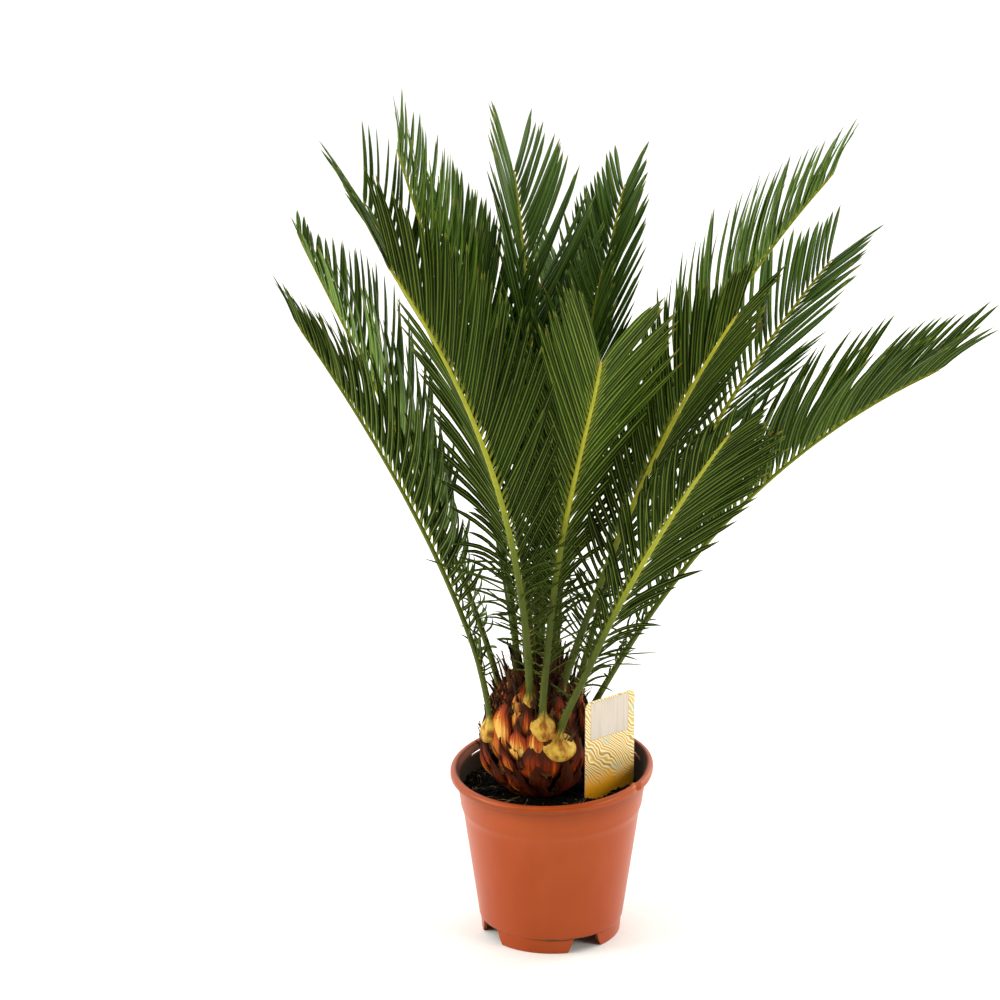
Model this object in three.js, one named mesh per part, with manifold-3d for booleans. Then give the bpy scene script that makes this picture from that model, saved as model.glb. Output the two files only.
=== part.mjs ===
// A young sago palm (Cycas revoluta) in a round plastic nursery pot, with its plant label.
// Millimetres, +Z up. The front of the plant faces -Y and its right side +X.
// A bearing ("azimuth") is counted from the front, 0 at -Y and +90 at +X, and a "lean" from upright.
// The pot's axis is the Z axis while the pieces are made. At the end the whole plant is moved
// so that the origin lies under the middle of its bounding box, on the surface it stands on.

import * as THREE from 'three';
import { mergeVertices } from 'three/addons/utils/BufferGeometryUtils.js';
import Module from 'manifold-3d';

const wasm = await Module();
wasm.setup();

// ---- Driving dimensions ------------------------------------------------------------------

const GAP = 0.3;            // clearance between pieces that touch
const WELD = 1e-4;          // vertices nearer than this are one vertex
const ROUND_SIDES = 40;     // sides of the pot and of the soil

const POT = {
  height: 130,
  footRadius: 51.5,
  footHeight: 9.4,          // the ring that the pot stands on
  footWall: 2.2,
  shoulder: 0.9,            // the wall stands this much proud of the foot ring
  taper: 0.1437,            // outward slope of the wall
  wall: 1.4,
  floor: 1.8,
  collarHeight: 86,         // the wall is thicker above this height
  collar: 1.0,
  lipRadius: 75,
  lipDepth: 6.5,
  lipMouth: 70.4,           // radius of the mouth at the top of the lip
  edge: 0.8,                // rounding of the lip's edges
};

// Notches that cut the foot ring through, and slots in the wall right under the lip.
const NOTCH = { azimuth: 29, count: 4, widthBelow: 27, widthAbove: 19.5 };
const DRAIN = { radius: 5, circle: 38, count: 4, sides: 10 };
const RIM_SLOT = { azimuths: [-128, 112], width: 22, height: 3.6, below: 7.2 };

const SOIL = { wallLevel: 109, crestRadius: 56, crestLevel: 111, seatRadius: 36, seatLevel: 112 };

// The card stands in the soil on its stake. Its foot line starts at `start` and runs at `bearing`.
const LABEL = {
  start: [26, -25.5],
  bearing: 40,              // degrees from +X towards +Y
  width: 45,
  foot: 110,                // lowest level of the card, where the stake begins
  top: 188,
  corner: 5,
  thick: 0.6,
  stakeWidth: 16,
  stakeTip: 78,
};

// The short swollen stem: radius at levels above the ground, from its flat foot to its crown.
const STEM = {
  axis: [-10, 0],
  foot: SOIL.seatLevel + GAP,
  profile: [[30, 0], [35.5, 10], [39.5, 26], [39.5, 42], [35, 60], [26, 76], [15, 86], [5, 90]],
  scaleRows: 3,             // leaf scars stacked up one side
  scalesRound: 13,
  scaleSteps: 4,            // facets along and across one leaf scar
  scaleRelief: 5.2,
  scaleMean: 0.45,          // height of a scar's cushion that lies on the profile
  plainBelow: 0.12,         // the scars fade in up to this share of the profile
  plainAbove: 0.82,         // and out again from this one
};

// Woolly pointed scales that stand between the leaf stalks of the crown.
const CATAPHYLL = { count: 11, ring: 17, foot: 178, length: 34, width: 5.5, lean: 14, turn: 137.5 };

// The rib: half its width at the foot and tip, how deep it stands in the stem, the length over
// which the swollen leaf base dies away, how far it reaches up and down as a share of its half
// width, and where the bare stalk has a section, in mm past the foot and as a share of the length.
const RIB = {
  footHalf: 3.0,
  tipHalf: 0.9,
  sunk: 9,
  swellLength: 9,
  ridge: 0.75,
  keel: 0.9,
  steps: 160,               // straight pieces that its curve is summed from
  stalkAt: [0, 7, 14, 26],
  stalkMiddle: 0.13,
};

const LEAFLET = {
  perSide: 20,
  from: 0.2,                // the stalk is bare up to this share of its length
  thick: 1.25,
  widthShare: 0.78,         // of the room between one leaflet and the next
  rootAngle: 66,            // angle to the rib of the first leaflets
  riseRoot: 50,             // how far the two rows are lifted above the frond's plane
  riseTip: 42,
  forward: 0.45,            // curve towards the frond's tip
  outward: 0.32,            // curve down and out
  droop: 0.10,
  droopLoss: 0.3,           // share of the droop that the last leaflets lack
  shortest: 0.36,           // first leaflets, as a share of the longest
  fullFrom: 0.42,           // the leaflets reach their full length here
  taperFrom: 0.55,          // and shorten again from here
  trims: [1, 0.8, 0.6, 0.45],   // shares of its length that a crowded leaflet is tried at
};

// One line for each frond, the outer ones first. Azimuth and lean are each given at its foot and
// at its tip, and `ease` below 1 bends it early. `seat` is the bearing, radius and height of its
// foot on the stem. `roll` turns its blade about the rib, `taper` is the length of its last
// leaflets as a share of `leaflet`, `sweep` is their angle to the rib, and `swell` is how much the
// leaf base is thicker than the stalk.
const FRONDS = [
  // azimuth,   lean,     ease, length, seat,        leaflet, roll, taper, sweep, swell
  [[40, 2], [0, 52], 1.15, 352, [8, 33, 176], 104, 2, 0.95, 14, 6],
  [[45, 34], [12, 41], 0.46, 318, [35, 36, 166], 97, 30, 0.36, 22, 7],
  [[-6, -50], [17, 36], 0.8, 415, [-14, 25, 188], 102, -15, 0.85, 17, 2.5],
  [[71, 79], [27, 62], 1.45, 383, [82, 35, 168], 102, 2, 0.62, 27, 3],
  [[-73, -68], [4, 33], 0.41, 350, [-70, 34, 168], 104, 6, 0.26, 15, 5],
  [[-89, -121], [10, 32], 0.5, 371, [-115, 30, 180], 90, -15, 0.22, 31, 3.5],
  [[54, 48], [20, 35], 1.6, 350, [42, 22, 190], 98, 38, 0.6, 17, 1.5],
  [[81, 89], [13, 41], 1.48, 432, [88, 28, 188], 97, 5, 0.46, 33, 1.5],
  [[128, 136], [35, 59], 1.75, 393, [122, 30, 180], 91, -21, 0.51, 30, 2],
  [[-96, -114], [8, 20], 1.25, 403, [-145, 22, 190], 98, -15, 0.47, 34, 1.5],
  [[-172, -174], [1, 65], 1.8, 397, [-178, 19, 194], 98, -24, 0.7, 18, 1.5],
  [[154, 163], [6, 48], 1.28, 389, [150, 24, 190], 85, 3, 0.42, 29, 1.5],
  [[-114, -123], [-2, 37], 0.73, 369, [-95, 16, 196], 101, 6, 0.61, 37, 1.5],
  [[172, 176], [14, 66], 1.2, 350, [178, 31, 176], 92, 8, 0.6, 22, 3],
  [[-140, -150], [6, 34], 1.1, 330, [-150, 7, 201], 92, -10, 0.6, 20, 1],
  [[120, 120], [5, 26], 1.1, 305, [75, 10, 200], 90, 10, 0.6, 20, 1],
].map(([azimuth, lean, ease, length, seat, leaflet, roll, taper, sweep, swell]) =>
  ({ azimuth, lean, ease, length, seat, leaflet, roll, taper, sweep, swell }));

// ---- Materials ---------------------------------------------------------------------------

const material = (color, roughness) =>
  new THREE.MeshStandardMaterial({ color, roughness, metalness: 0 });
const POT_PLASTIC = material('#c8623a', 0.5);
const PEAT = material('#241a13', 0.95);
const CARD = material('#e6d6a2', 0.45);
const STEM_HUSK = material('#8a4a26', 0.7);
const LEAF_FRONT = material('#3d6128', 0.45);

// ---- Small helpers -----------------------------------------------------------------------

const radians = THREE.MathUtils.degToRad;
const { lerp, smoothstep } = THREE.MathUtils;

// A point at a bearing and radius about the Z axis.
const onCircle = (azimuth, radius, z = 0) =>
  new THREE.Vector3(radius * Math.sin(radians(azimuth)), -radius * Math.cos(radians(azimuth)), z);

// Position-only copy with its shared vertices merged, flat triangles dropped, faces outwards.
function closed(geometry) {
  const bare = new THREE.BufferGeometry();
  bare.setAttribute('position', geometry.getAttribute('position').clone());
  if (geometry.index) bare.setIndex(geometry.index.clone());
  const merged = mergeVertices(bare, WELD);
  const index = merged.index.array;
  const position = merged.getAttribute('position');
  const corner = [0, 1, 2].map(() => new THREE.Vector3());
  const kept = [];
  let volume = 0;
  for (let i = 0; i < index.length; i += 3) {
    const [a, b, c] = [index[i], index[i + 1], index[i + 2]];
    if (a === b || b === c || c === a) continue;
    kept.push(a, b, c);
    corner.forEach((point, k) => point.fromBufferAttribute(position, index[i + k]));
    volume += corner[0].dot(corner[1].cross(corner[2])) / 6;
  }
  merged.setIndex(volume < 0 ? kept.reverse() : kept);
  return merged;
}

function toSolid(geometry) {
  const shape = closed(geometry);
  return new wasm.Manifold(new wasm.Mesh({
    numProp: 3,
    vertProperties: new Float32Array(shape.getAttribute('position').array),
    triVerts: new Uint32Array(shape.index.array),
  }));
}

function toGeometry(solid) {
  const mesh = solid.getMesh();
  const geometry = new THREE.BufferGeometry();
  geometry.setAttribute('position', new THREE.BufferAttribute(new Float32Array(mesh.vertProperties), 3));
  geometry.setIndex(new THREE.BufferAttribute(new Uint32Array(mesh.triVerts), 1));
  geometry.computeVertexNormals();
  return geometry;
}

// The biggest piece of a cut solid, without its loose scraps.
function largest(solid) {
  const pieces = solid.decompose();
  pieces.sort((a, b) => b.volume() - a.volume());
  return pieces[0];
}

// A solid of revolution about Z from [radius, z] points that start and end on the axis.
function turned(points, sides) {
  const outline = points.map(([radius, z]) => new THREE.Vector2(radius, z));
  return new THREE.LatheGeometry(outline, sides).rotateX(Math.PI / 2);
}

function named(name, geometry, look) {
  const mesh = new THREE.Mesh(geometry, look);
  mesh.name = name;
  return mesh;
}

// ---- Pot ---------------------------------------------------------------------------------

// Outer radius of the wall, without its collar.
const wallRadius = (z) => POT.footRadius + POT.shoulder + POT.taper * z;
const innerRadius = (z) => wallRadius(z) - POT.wall;

function potGeometry() {
  const lipFoot = POT.height - POT.lipDepth;
  const floorTop = POT.footHeight + POT.floor;
  const footTaper = POT.taper * POT.footHeight / 2;
  let body = toSolid(turned([
    [0, POT.footHeight],
    [POT.footRadius + footTaper - POT.footWall, POT.footHeight],
    [POT.footRadius - POT.footWall, 0],
    [POT.footRadius, 0],
    [POT.footRadius + footTaper, POT.footHeight],
    [wallRadius(POT.footHeight), POT.footHeight + POT.edge],
    [wallRadius(POT.collarHeight), POT.collarHeight],
    [wallRadius(POT.collarHeight) + POT.collar, POT.collarHeight + POT.edge],
    [wallRadius(lipFoot) + POT.collar, lipFoot],
    [POT.lipRadius, lipFoot + POT.edge],
    [POT.lipRadius, POT.height - POT.edge],
    [POT.lipRadius - POT.edge, POT.height],
    [POT.lipMouth + POT.edge, POT.height],
    [POT.lipMouth, POT.height - POT.edge],
    [innerRadius(lipFoot), lipFoot],
    [innerRadius(floorTop), floorTop],
    [0, floorTop],
  ], ROUND_SIDES));
  const reach = POT.footRadius * 1.5;
  for (let i = 0; i < NOTCH.count; i += 1) {
    const wedge = new THREE.Shape([
      new THREE.Vector2(-NOTCH.widthBelow / 2, -1),
      new THREE.Vector2(NOTCH.widthBelow / 2, -1),
      new THREE.Vector2(NOTCH.widthAbove / 2, POT.footHeight - 2 * GAP),
      new THREE.Vector2(-NOTCH.widthAbove / 2, POT.footHeight - 2 * GAP),
    ]);
    const cutter = new THREE.ExtrudeGeometry(wedge, { depth: reach / 2, bevelEnabled: false });
    cutter.rotateX(Math.PI / 2).translate(0, -reach / 2, 0);
    cutter.rotateZ(radians(NOTCH.azimuth + i * 360 / NOTCH.count));
    body = body.subtract(toSolid(cutter));
  }
  for (let i = 0; i < DRAIN.count; i += 1) {
    const hole = new THREE.CylinderGeometry(DRAIN.radius, DRAIN.radius, 4 * POT.floor, DRAIN.sides);
    const centre = onCircle(NOTCH.azimuth + i * 360 / DRAIN.count, DRAIN.circle, POT.footHeight);
    body = body.subtract(toSolid(hole.rotateX(Math.PI / 2).translate(centre.x, centre.y, centre.z)));
  }
  for (const azimuth of RIM_SLOT.azimuths) {
    const slot = new THREE.BoxGeometry(RIM_SLOT.width, 12, RIM_SLOT.height);
    slot.translate(0, -wallRadius(POT.height), POT.height - RIM_SLOT.below - RIM_SLOT.height / 2);
    body = body.subtract(toSolid(slot.rotateZ(radians(azimuth))));
  }
  return toGeometry(body);
}

// ---- Label -------------------------------------------------------------------------------

// Outline of the card and its stake, grown by `grow` all round, in the card's own plane.
function labelOutline(grow) {
  const { width, foot, top, corner, stakeWidth, stakeTip } = LABEL;
  const left = -grow;
  const right = width + grow;
  const stakeLeft = (width - stakeWidth) / 2 - grow;
  const stakeRight = (width + stakeWidth) / 2 + grow;
  const outline = new THREE.Shape();
  outline.moveTo(left, foot + corner - grow);
  outline.quadraticCurveTo(left, foot - grow, left + corner, foot - grow);
  outline.lineTo(stakeLeft, foot - corner - grow);
  outline.lineTo(width / 2, stakeTip - 4 * grow);
  outline.lineTo(stakeRight, foot - corner - grow);
  outline.lineTo(right - corner, foot - grow);
  outline.quadraticCurveTo(right, foot - grow, right, foot + corner - grow);
  outline.lineTo(right, top - corner + grow);
  outline.quadraticCurveTo(right, top + grow, right - corner, top + grow);
  outline.lineTo(left + corner, top + grow);
  outline.quadraticCurveTo(left, top + grow, left, top - corner + grow);
  return outline;
}

function labelGeometry(grow) {
  const depth = LABEL.thick + 2 * grow;
  const settings = { depth, bevelEnabled: false, curveSegments: 3 };
  const card = new THREE.ExtrudeGeometry(labelOutline(grow), settings);
  return card.rotateX(Math.PI / 2).translate(0, depth / 2, 0);
}

function placeLabel(piece) {
  piece.rotateZ(radians(LABEL.bearing));
  return piece.translate(LABEL.start[0], LABEL.start[1], 0);
}

// ---- Soil --------------------------------------------------------------------------------

function soilGeometry() {
  const bottom = POT.footHeight + POT.floor + GAP;
  const fill = toSolid(turned([
    [0, bottom],
    [innerRadius(bottom) - GAP, bottom],
    [innerRadius(SOIL.wallLevel) - GAP, SOIL.wallLevel],
    [SOIL.crestRadius, SOIL.crestLevel],
    [SOIL.seatRadius + Math.abs(STEM.axis[0]), SOIL.seatLevel],
    [0, SOIL.seatLevel],
  ], ROUND_SIDES));
  return toGeometry(fill.subtract(toSolid(placeLabel(labelGeometry(GAP)))));
}

// ---- Fronds ------------------------------------------------------------------------------

// Direction of the rib, the way its upper face looks, and its right side, at share s of its length.
function ribFrame(frond, s) {
  const bend = Math.max(s, 0) ** frond.ease;
  const lean = radians(lerp(frond.lean[0], frond.lean[1], bend));
  const azimuth = radians(lerp(frond.azimuth[0], frond.azimuth[1], Math.max(s, 0)));
  const along = new THREE.Vector3(
    Math.sin(lean) * Math.sin(azimuth), -Math.sin(lean) * Math.cos(azimuth), Math.cos(lean));
  const up = new THREE.Vector3(
    -Math.cos(lean) * Math.sin(azimuth), Math.cos(lean) * Math.cos(azimuth), Math.sin(lean));
  up.applyAxisAngle(along, -radians(frond.roll));
  return { along, up, side: new THREE.Vector3().crossVectors(along, up) };
}

// The rib's point and frame at share s, with the direction summed up along the way.
function ribCurve(frond) {
  const { steps } = RIB;
  const [azimuth, radius, height] = frond.seat;
  const points = [onCircle(azimuth, radius, height).add(new THREE.Vector3(...STEM.axis, 0))];
  for (let i = 1; i <= steps; i += 1) {
    const middle = ribFrame(frond, (i - 0.5) / steps).along;
    points.push(points[i - 1].clone().addScaledVector(middle, frond.length / steps));
  }
  return (s) => {
    const frame = ribFrame(frond, s);
    const i = THREE.MathUtils.clamp(Math.floor(s * steps), 0, steps - 1);
    const point = s < 0
      ? points[0].clone().addScaledVector(frame.along, s * frond.length)
      : points[i].clone().lerp(points[i + 1], s * steps - i);
    return { point, ...frame };
  };
}

// Half the width of the rib, with the swollen leaf base at its foot.
function ribHalf(frond, s) {
  const past = s * frond.length;
  const stalk = lerp(RIB.footHalf, RIB.tipHalf, Math.max(s, 0) ** 0.8);
  return stalk + frond.swell * Math.exp(-((past / RIB.swellLength) ** 2));
}

// The four corners of the rib's section: left, top, right and keel.
function ribSection(frond, at, s, grow) {
  const { point, up, side } = at(s);
  const half = ribHalf(frond, s) + grow;
  return [[side, -half], [up, RIB.ridge * half], [side, half], [up, -RIB.keel * half]]
    .map(([direction, by]) => point.clone().addScaledVector(direction, by));
}

// A leaflet's course from its root: its middle section, its tip, and its local directions.
function leafletShape(frond, at, side, share, trim, grow) {
  const s = lerp(LEAFLET.from, 1, share);
  const { point, along, up, side: right } = at(s);
  const angle = radians(LEAFLET.rootAngle - (LEAFLET.rootAngle - frond.sweep) * share ** 0.8);
  const rise = radians(lerp(LEAFLET.riseRoot, LEAFLET.riseTip, share));
  const length = frond.leaflet * trim
    * lerp(LEAFLET.shortest, 1, smoothstep(share, 0, LEAFLET.fullFrom))
    * lerp(1, frond.taper, smoothstep(share, LEAFLET.taperFrom, 1));
  const start = along.clone().multiplyScalar(Math.cos(angle))
    .addScaledVector(right, side * Math.sin(angle) * Math.cos(rise))
    .addScaledVector(up, Math.sin(angle) * Math.sin(rise));
  const bend = along.clone().multiplyScalar(LEAFLET.forward * Math.sin(angle))
    .addScaledVector(up, -LEAFLET.outward * Math.sin(angle));
  bend.z -= LEAFLET.droop * (1 - LEAFLET.droopLoss * share);
  const course = (u) => point.clone().addScaledVector(start, length * u)
    .addScaledVector(bend, length * u * u / 2);
  const heading = start.clone().addScaledVector(bend, 0.5).normalize();
  const edge = along.clone().addScaledVector(heading, -along.dot(heading));
  const pitch = frond.length * (1 - LEAFLET.from) / LEAFLET.perSide;
  const halfWidth = 0.5 * LEAFLET.widthShare * pitch * edge.length() + grow;
  edge.normalize();
  const face = new THREE.Vector3().crossVectors(heading, edge);
  if (face.dot(up) < 0) face.negate();
  const halfThick = LEAFLET.thick / 2 + grow;
  const corner = (middle, e, f) => middle.clone()
    .addScaledVector(edge, e * halfWidth).addScaledVector(face, f * halfThick);
  const middle = course(0.5);
  // Near edge low and high, far edge high and low, seen from the root outwards.
  return {
    middle: [corner(middle, -1, -1), corner(middle, -1, 1), corner(middle, 1, 1), corner(middle, 1, -1)],
    tip: course(1).addScaledVector(heading, grow),
  };
}

// Walls from a leaflet's root corners to its middle section, and on to its tip. The diagonals of
// its two narrow sides run from the high corner at the root to the low corner at the middle.
const LEAFLET_WALLS = [
  [1, 4, 0], [1, 5, 4], [1, 2, 6], [1, 6, 5], [2, 3, 7], [2, 7, 6], [3, 0, 4], [3, 4, 7],
  [4, 5, 8], [5, 6, 8], [6, 7, 8], [7, 4, 8],
];

// A leaflet on its own, for testing its clearance.
function looseLeaflet(root, shape) {
  const points = [...root, ...shape.middle, shape.tip];
  const faces = [...LEAFLET_WALLS, [0, 2, 1], [0, 3, 2]];
  return solidFrom(points, faces);
}

function solidFrom(points, faces) {
  const geometry = new THREE.BufferGeometry().setFromPoints(points);
  geometry.setIndex(faces.flat());
  return toSolid(geometry);
}

// Shares of the rib's length where it has a section: down in the stem, along the bare stalk,
// and at each leaflet's two sides.
function ribShares(frond, deeper = 0) {
  const stalk = [-RIB.sunk - deeper, ...RIB.stalkAt].map((past) => past / frond.length);
  stalk.push(RIB.stalkMiddle);
  const blade = Array.from({ length: LEAFLET.perSide + 1 },
    (_, i) => lerp(LEAFLET.from, 1, i / LEAFLET.perSide));
  return { shares: [...stalk, ...blade], bladeStart: stalk.length };
}

// The four corners of section a and the four of section b, as the root of a leaflet on one side.
const rootCorners = (side, near, far) => (side < 0 ? [near + 0, near + 1, far + 1, far + 0]
  : [near + 2, near + 1, far + 1, far + 2]);

// The frond as points and faces: the rib's walls, with a leaflet in place of a wall wherever
// `leaflets` holds one for that side and step.
function frondMesh(frond, at, leaflets, grow = 0, last = Infinity) {
  const { shares, bladeStart } = ribShares(frond, grow);
  const used = shares.slice(0, last);
  const points = used.flatMap((s) => ribSection(frond, at, s, grow));
  const faces = [[0, 2, 1], [0, 3, 2]];
  for (let i = 0; i < used.length - 1; i += 1) {
    for (let k = 0; k < 4; k += 1) {
      const next = (k + 1) % 4;
      const [a, b, c, d] = [4 * i + k, 4 * i + next, 4 * i + 4 + next, 4 * i + 4 + k];
      const shape = k < 2 ? leaflets[`${k === 0 ? -1 : 1}:${i - bladeStart}`] : undefined;
      if (!shape) {
        faces.push([a, b, c], [a, c, d]);
        continue;
      }
      const first = points.length;
      points.push(...shape.middle, shape.tip);
      const corners = [...rootCorners(k === 0 ? -1 : 1, 4 * i, 4 * i + 4),
        first, first + 1, first + 2, first + 3, first + 4];
      const walls = LEAFLET_WALLS.map((wall) => wall.map((v) => corners[v]));
      faces.push(...(k === 0 ? walls : walls.map((wall) => wall.reverse())));
    }
  }
  const end = 4 * (used.length - 1);
  faces.push([end, end + 1, end + 2], [end, end + 2, end + 3]);
  return { points, faces };
}

function meet(a, b) {
  const [p, q] = [a.boundingBox(), b.boundingBox()];
  const near = [0, 1, 2].every((k) => p.min[k] < q.max[k] && q.min[k] < p.max[k]);
  return near && a.intersect(b).volume() > 0;
}

// The longest trim at which a leaflet, grown by the gap, is clear of the other fronds.
function clearTrim(grown, others, root, side, share) {
  return LEAFLET.trims.find((trim) => {
    const shape = leafletShape(grown.frond, grown.at, side, share, trim, GAP);
    const tried = looseLeaflet(root, shape);
    return !others.some((other) => [other.rib, ...other.taken].some((solid) => meet(tried, solid)));
  });
}

// Every frond gets its rib, then its leaflets, each as long as leaves it clear of other fronds.
function growFronds() {
  const fronds = FRONDS.map((frond) => {
    const at = ribCurve(frond);
    const rib = frondMesh(frond, at, {});
    return { frond, at, rib: solidFrom(rib.points, rib.faces), leaflets: {}, taken: [] };
  });
  for (const grown of fronds) {
    const { frond, at } = grown;
    const others = fronds.filter((other) => other !== grown);
    const { shares, bladeStart } = ribShares(frond);
    for (let step = 0; step < LEAFLET.perSide; step += 1) {
      const share = (step + 0.5) / LEAFLET.perSide;
      const first = bladeStart + step;
      const section = [first, first + 1].flatMap((k) => ribSection(frond, at, shares[k], 0));
      for (const side of [-1, 1]) {
        const root = rootCorners(side, 0, 4).map((v) => section[v]);
        const trim = clearTrim(grown, others, root, side, share);
        if (!trim) continue;
        const shape = leafletShape(frond, at, side, share, trim, 0);
        grown.leaflets[`${side}:${step}`] = shape;
        grown.taken.push(looseLeaflet(root, shape));
      }
    }
  }
  return fronds;
}

// ---- Stem --------------------------------------------------------------------------------

// Height of a leaf scar's cushion over the stem, 0 to 1. The scars lie in a lozenge lattice, and
// each swells from its lower corner to a lip at its upper one.
function scarHeight(turn, level) {
  const across = turn * STEM.scalesRound;
  const rise = level * STEM.scaleRows;
  const wrap = (value) => value - Math.floor(value);
  const [p, q] = [wrap(rise + across), wrap(rise - across)];
  const cushion = Math.sqrt(16 * p * (1 - p) * q * (1 - q));
  return cushion * lerp(STEM.scaleMean, 1, (p + q) / 2);
}

function stemCore() {
  const profile = STEM.profile.map(([radius, rise]) => new THREE.Vector2(radius, rise));
  const curve = new THREE.SplineCurve(profile);
  const axis = new THREE.Vector3(...STEM.axis, 0);
  const sides = STEM.scalesRound * STEM.scaleSteps;
  const rings = STEM.scaleRows * STEM.scaleSteps;
  const points = [new THREE.Vector3(...STEM.axis, STEM.foot)];
  for (let ring = 0; ring <= rings; ring += 1) {
    const level = ring / rings;
    const { x: radius, y: rise } = curve.getPointAt(level);
    for (let i = 0; i < sides; i += 1) {
      const turn = i / sides;
      const fade = smoothstep(level, 0, STEM.plainBelow) * (1 - smoothstep(level, STEM.plainAbove, 1));
      const reach = radius + STEM.scaleRelief * fade * (scarHeight(turn, level) - STEM.scaleMean);
      points.push(onCircle(turn * 360, reach, STEM.foot + rise).add(axis));
    }
  }
  points.push(new THREE.Vector3(...STEM.axis, STEM.foot + STEM.profile.at(-1)[1] + 1));
  const faces = [];
  const at = (ring, i) => 1 + ring * sides + (i % sides);
  for (let i = 0; i < sides; i += 1) {
    faces.push([0, at(0, i + 1), at(0, i)]);
    faces.push([points.length - 1, at(rings, i), at(rings, i + 1)]);
    for (let ring = 0; ring < rings; ring += 1) {
      const [a, b, c, d] = [at(ring, i), at(ring, i + 1), at(ring + 1, i + 1), at(ring + 1, i)];
      // A square that a rising furrow crosses to the left is split along it, the others to the right.
      if ((ring + i + 1) % STEM.scaleSteps === 0) faces.push([a, b, d], [b, c, d]);
      else faces.push([a, b, c], [a, c, d]);
    }
  }
  return solidFrom(points, faces);
}

// One woolly scale: a slim four-sided spike that leans out from the crown.
function cataphyll(index) {
  const azimuth = index * CATAPHYLL.turn;
  const spread = Math.sqrt((index + 0.5) / CATAPHYLL.count);
  const foot = onCircle(azimuth, CATAPHYLL.ring * spread, CATAPHYLL.foot);
  const lean = radians(CATAPHYLL.lean * spread);
  const along = onCircle(azimuth, Math.sin(lean), Math.cos(lean));
  const round = onCircle(azimuth + 90, 1);
  const out = onCircle(azimuth, 1);
  const axis = new THREE.Vector3(...STEM.axis, 0);
  const ring = [[round, -1], [out, 0.6], [round, 1], [out, -0.6]].map(([direction, by]) =>
    foot.clone().add(axis).addScaledVector(direction, by * CATAPHYLL.width));
  const tip = foot.clone().add(axis).addScaledVector(along, CATAPHYLL.length);
  return solidFrom([...ring, tip], [[0, 2, 1], [0, 3, 2], [0, 1, 4], [1, 2, 4], [2, 3, 4], [3, 0, 4]]);
}

// The stem with its woolly scales, less a socket round each frond's foot.
function stemGeometry(fronds) {
  let body = stemCore();
  for (let i = 0; i < CATAPHYLL.count; i += 1) body = body.add(cataphyll(i));
  for (const { frond, at } of fronds) {
    const stalk = frondMesh(frond, at, {}, GAP, 6);
    body = body.subtract(solidFrom(stalk.points, stalk.faces));
  }
  return toGeometry(largest(body));
}

// ---- The plant ---------------------------------------------------------------------------

const plant = new THREE.Group();
const fronds = growFronds();
plant.add(named('pot', potGeometry(), POT_PLASTIC));
plant.add(named('soil', soilGeometry(), PEAT));
plant.add(named('stem', stemGeometry(fronds), STEM_HUSK));

const label = named('plant_label', labelGeometry(0), CARD);
label.rotation.z = radians(LABEL.bearing);
label.position.set(...LABEL.start, 0);
plant.add(label);

fronds.forEach(({ frond, at, leaflets }, i) => {
  const { points, faces } = frondMesh(frond, at, leaflets);
  const name = `frond_${String(i + 1).padStart(2, '0')}`;
  plant.add(named(name, toGeometry(solidFrom(points, faces)), LEAF_FRONT));
});

// The origin goes under the middle of the whole plant, at the level that the pot stands on.
const reach = new THREE.Box3().setFromObject(plant);
const middle = reach.getCenter(new THREE.Vector3());
plant.position.set(-middle.x, -middle.y, -reach.min.z);

export default plant;
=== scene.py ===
"""Young sago palm (Cycas revoluta) in its nursery pot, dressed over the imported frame.

Each surface is a function of two parameters, or a section carried along a path. It is worked out
as whole numpy arrays in millimetres about the pot's axis, and moved to the frame when it is
meshed. A bearing is counted from the front, 0 at -Y and +90 at +X, and a lean from upright.
"""
from functools import partial

import bpy
import numpy as np
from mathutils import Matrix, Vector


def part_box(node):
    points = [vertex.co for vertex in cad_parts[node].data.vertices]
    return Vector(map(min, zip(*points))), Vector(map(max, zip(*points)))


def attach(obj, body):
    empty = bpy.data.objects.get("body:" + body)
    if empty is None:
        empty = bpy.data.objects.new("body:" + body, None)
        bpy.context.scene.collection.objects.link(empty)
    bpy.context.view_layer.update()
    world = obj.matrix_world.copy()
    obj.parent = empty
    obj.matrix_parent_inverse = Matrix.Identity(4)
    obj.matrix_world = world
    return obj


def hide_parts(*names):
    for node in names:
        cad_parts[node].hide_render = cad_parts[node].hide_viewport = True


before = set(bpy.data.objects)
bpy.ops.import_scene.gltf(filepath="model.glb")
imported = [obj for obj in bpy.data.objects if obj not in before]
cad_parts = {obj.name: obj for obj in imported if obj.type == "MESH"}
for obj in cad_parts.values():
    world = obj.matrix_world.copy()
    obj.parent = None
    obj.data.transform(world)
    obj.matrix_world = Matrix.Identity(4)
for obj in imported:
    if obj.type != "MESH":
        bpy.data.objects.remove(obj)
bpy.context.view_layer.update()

# ---- Driving sizes, in millimetres and degrees, close to the part's source ----------------------

POT = dict(height=130, foot_radius=51.5, foot_height=11.4, foot_wall=2.2, shoulder=0.1,
           taper=0.1437, wall=1.4, floor=1.8, collar_height=98, collar=1.0, lip_radius=75,
           lip_depth=5.6, lip_mouth=70.4, edge=0.8, warp=(0.045, 0.047))
NOTCH = dict(azimuth=29, count=4, width_below=27, width_above=19.5, corner=2.2)
DRAIN = dict(radius=5, circle=38, count=4)
RIM_SLOT = dict(azimuths=(-128, 112), width=22, height=2.2, below=6.0)
SOIL = dict(wall_level=109, crest_radius=56, crest_level=111, seat_radius=46, seat_level=112,
            highest=116)
LABEL = dict(start=(23.7, -27.4), bearing=40, width=48, foot=109, top=188, corner=5, thick=0.6,
             stake_width=16, stake_tip=78)
STEM = dict(axis=(-10, 0, 0), foot=112.3, rows=3, round=13,
            profile=((22, 0), (30.5, 10), (37, 24), (39, 42), (35, 60), (26, 76), (15, 86),
                     (5, 90)))
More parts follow.
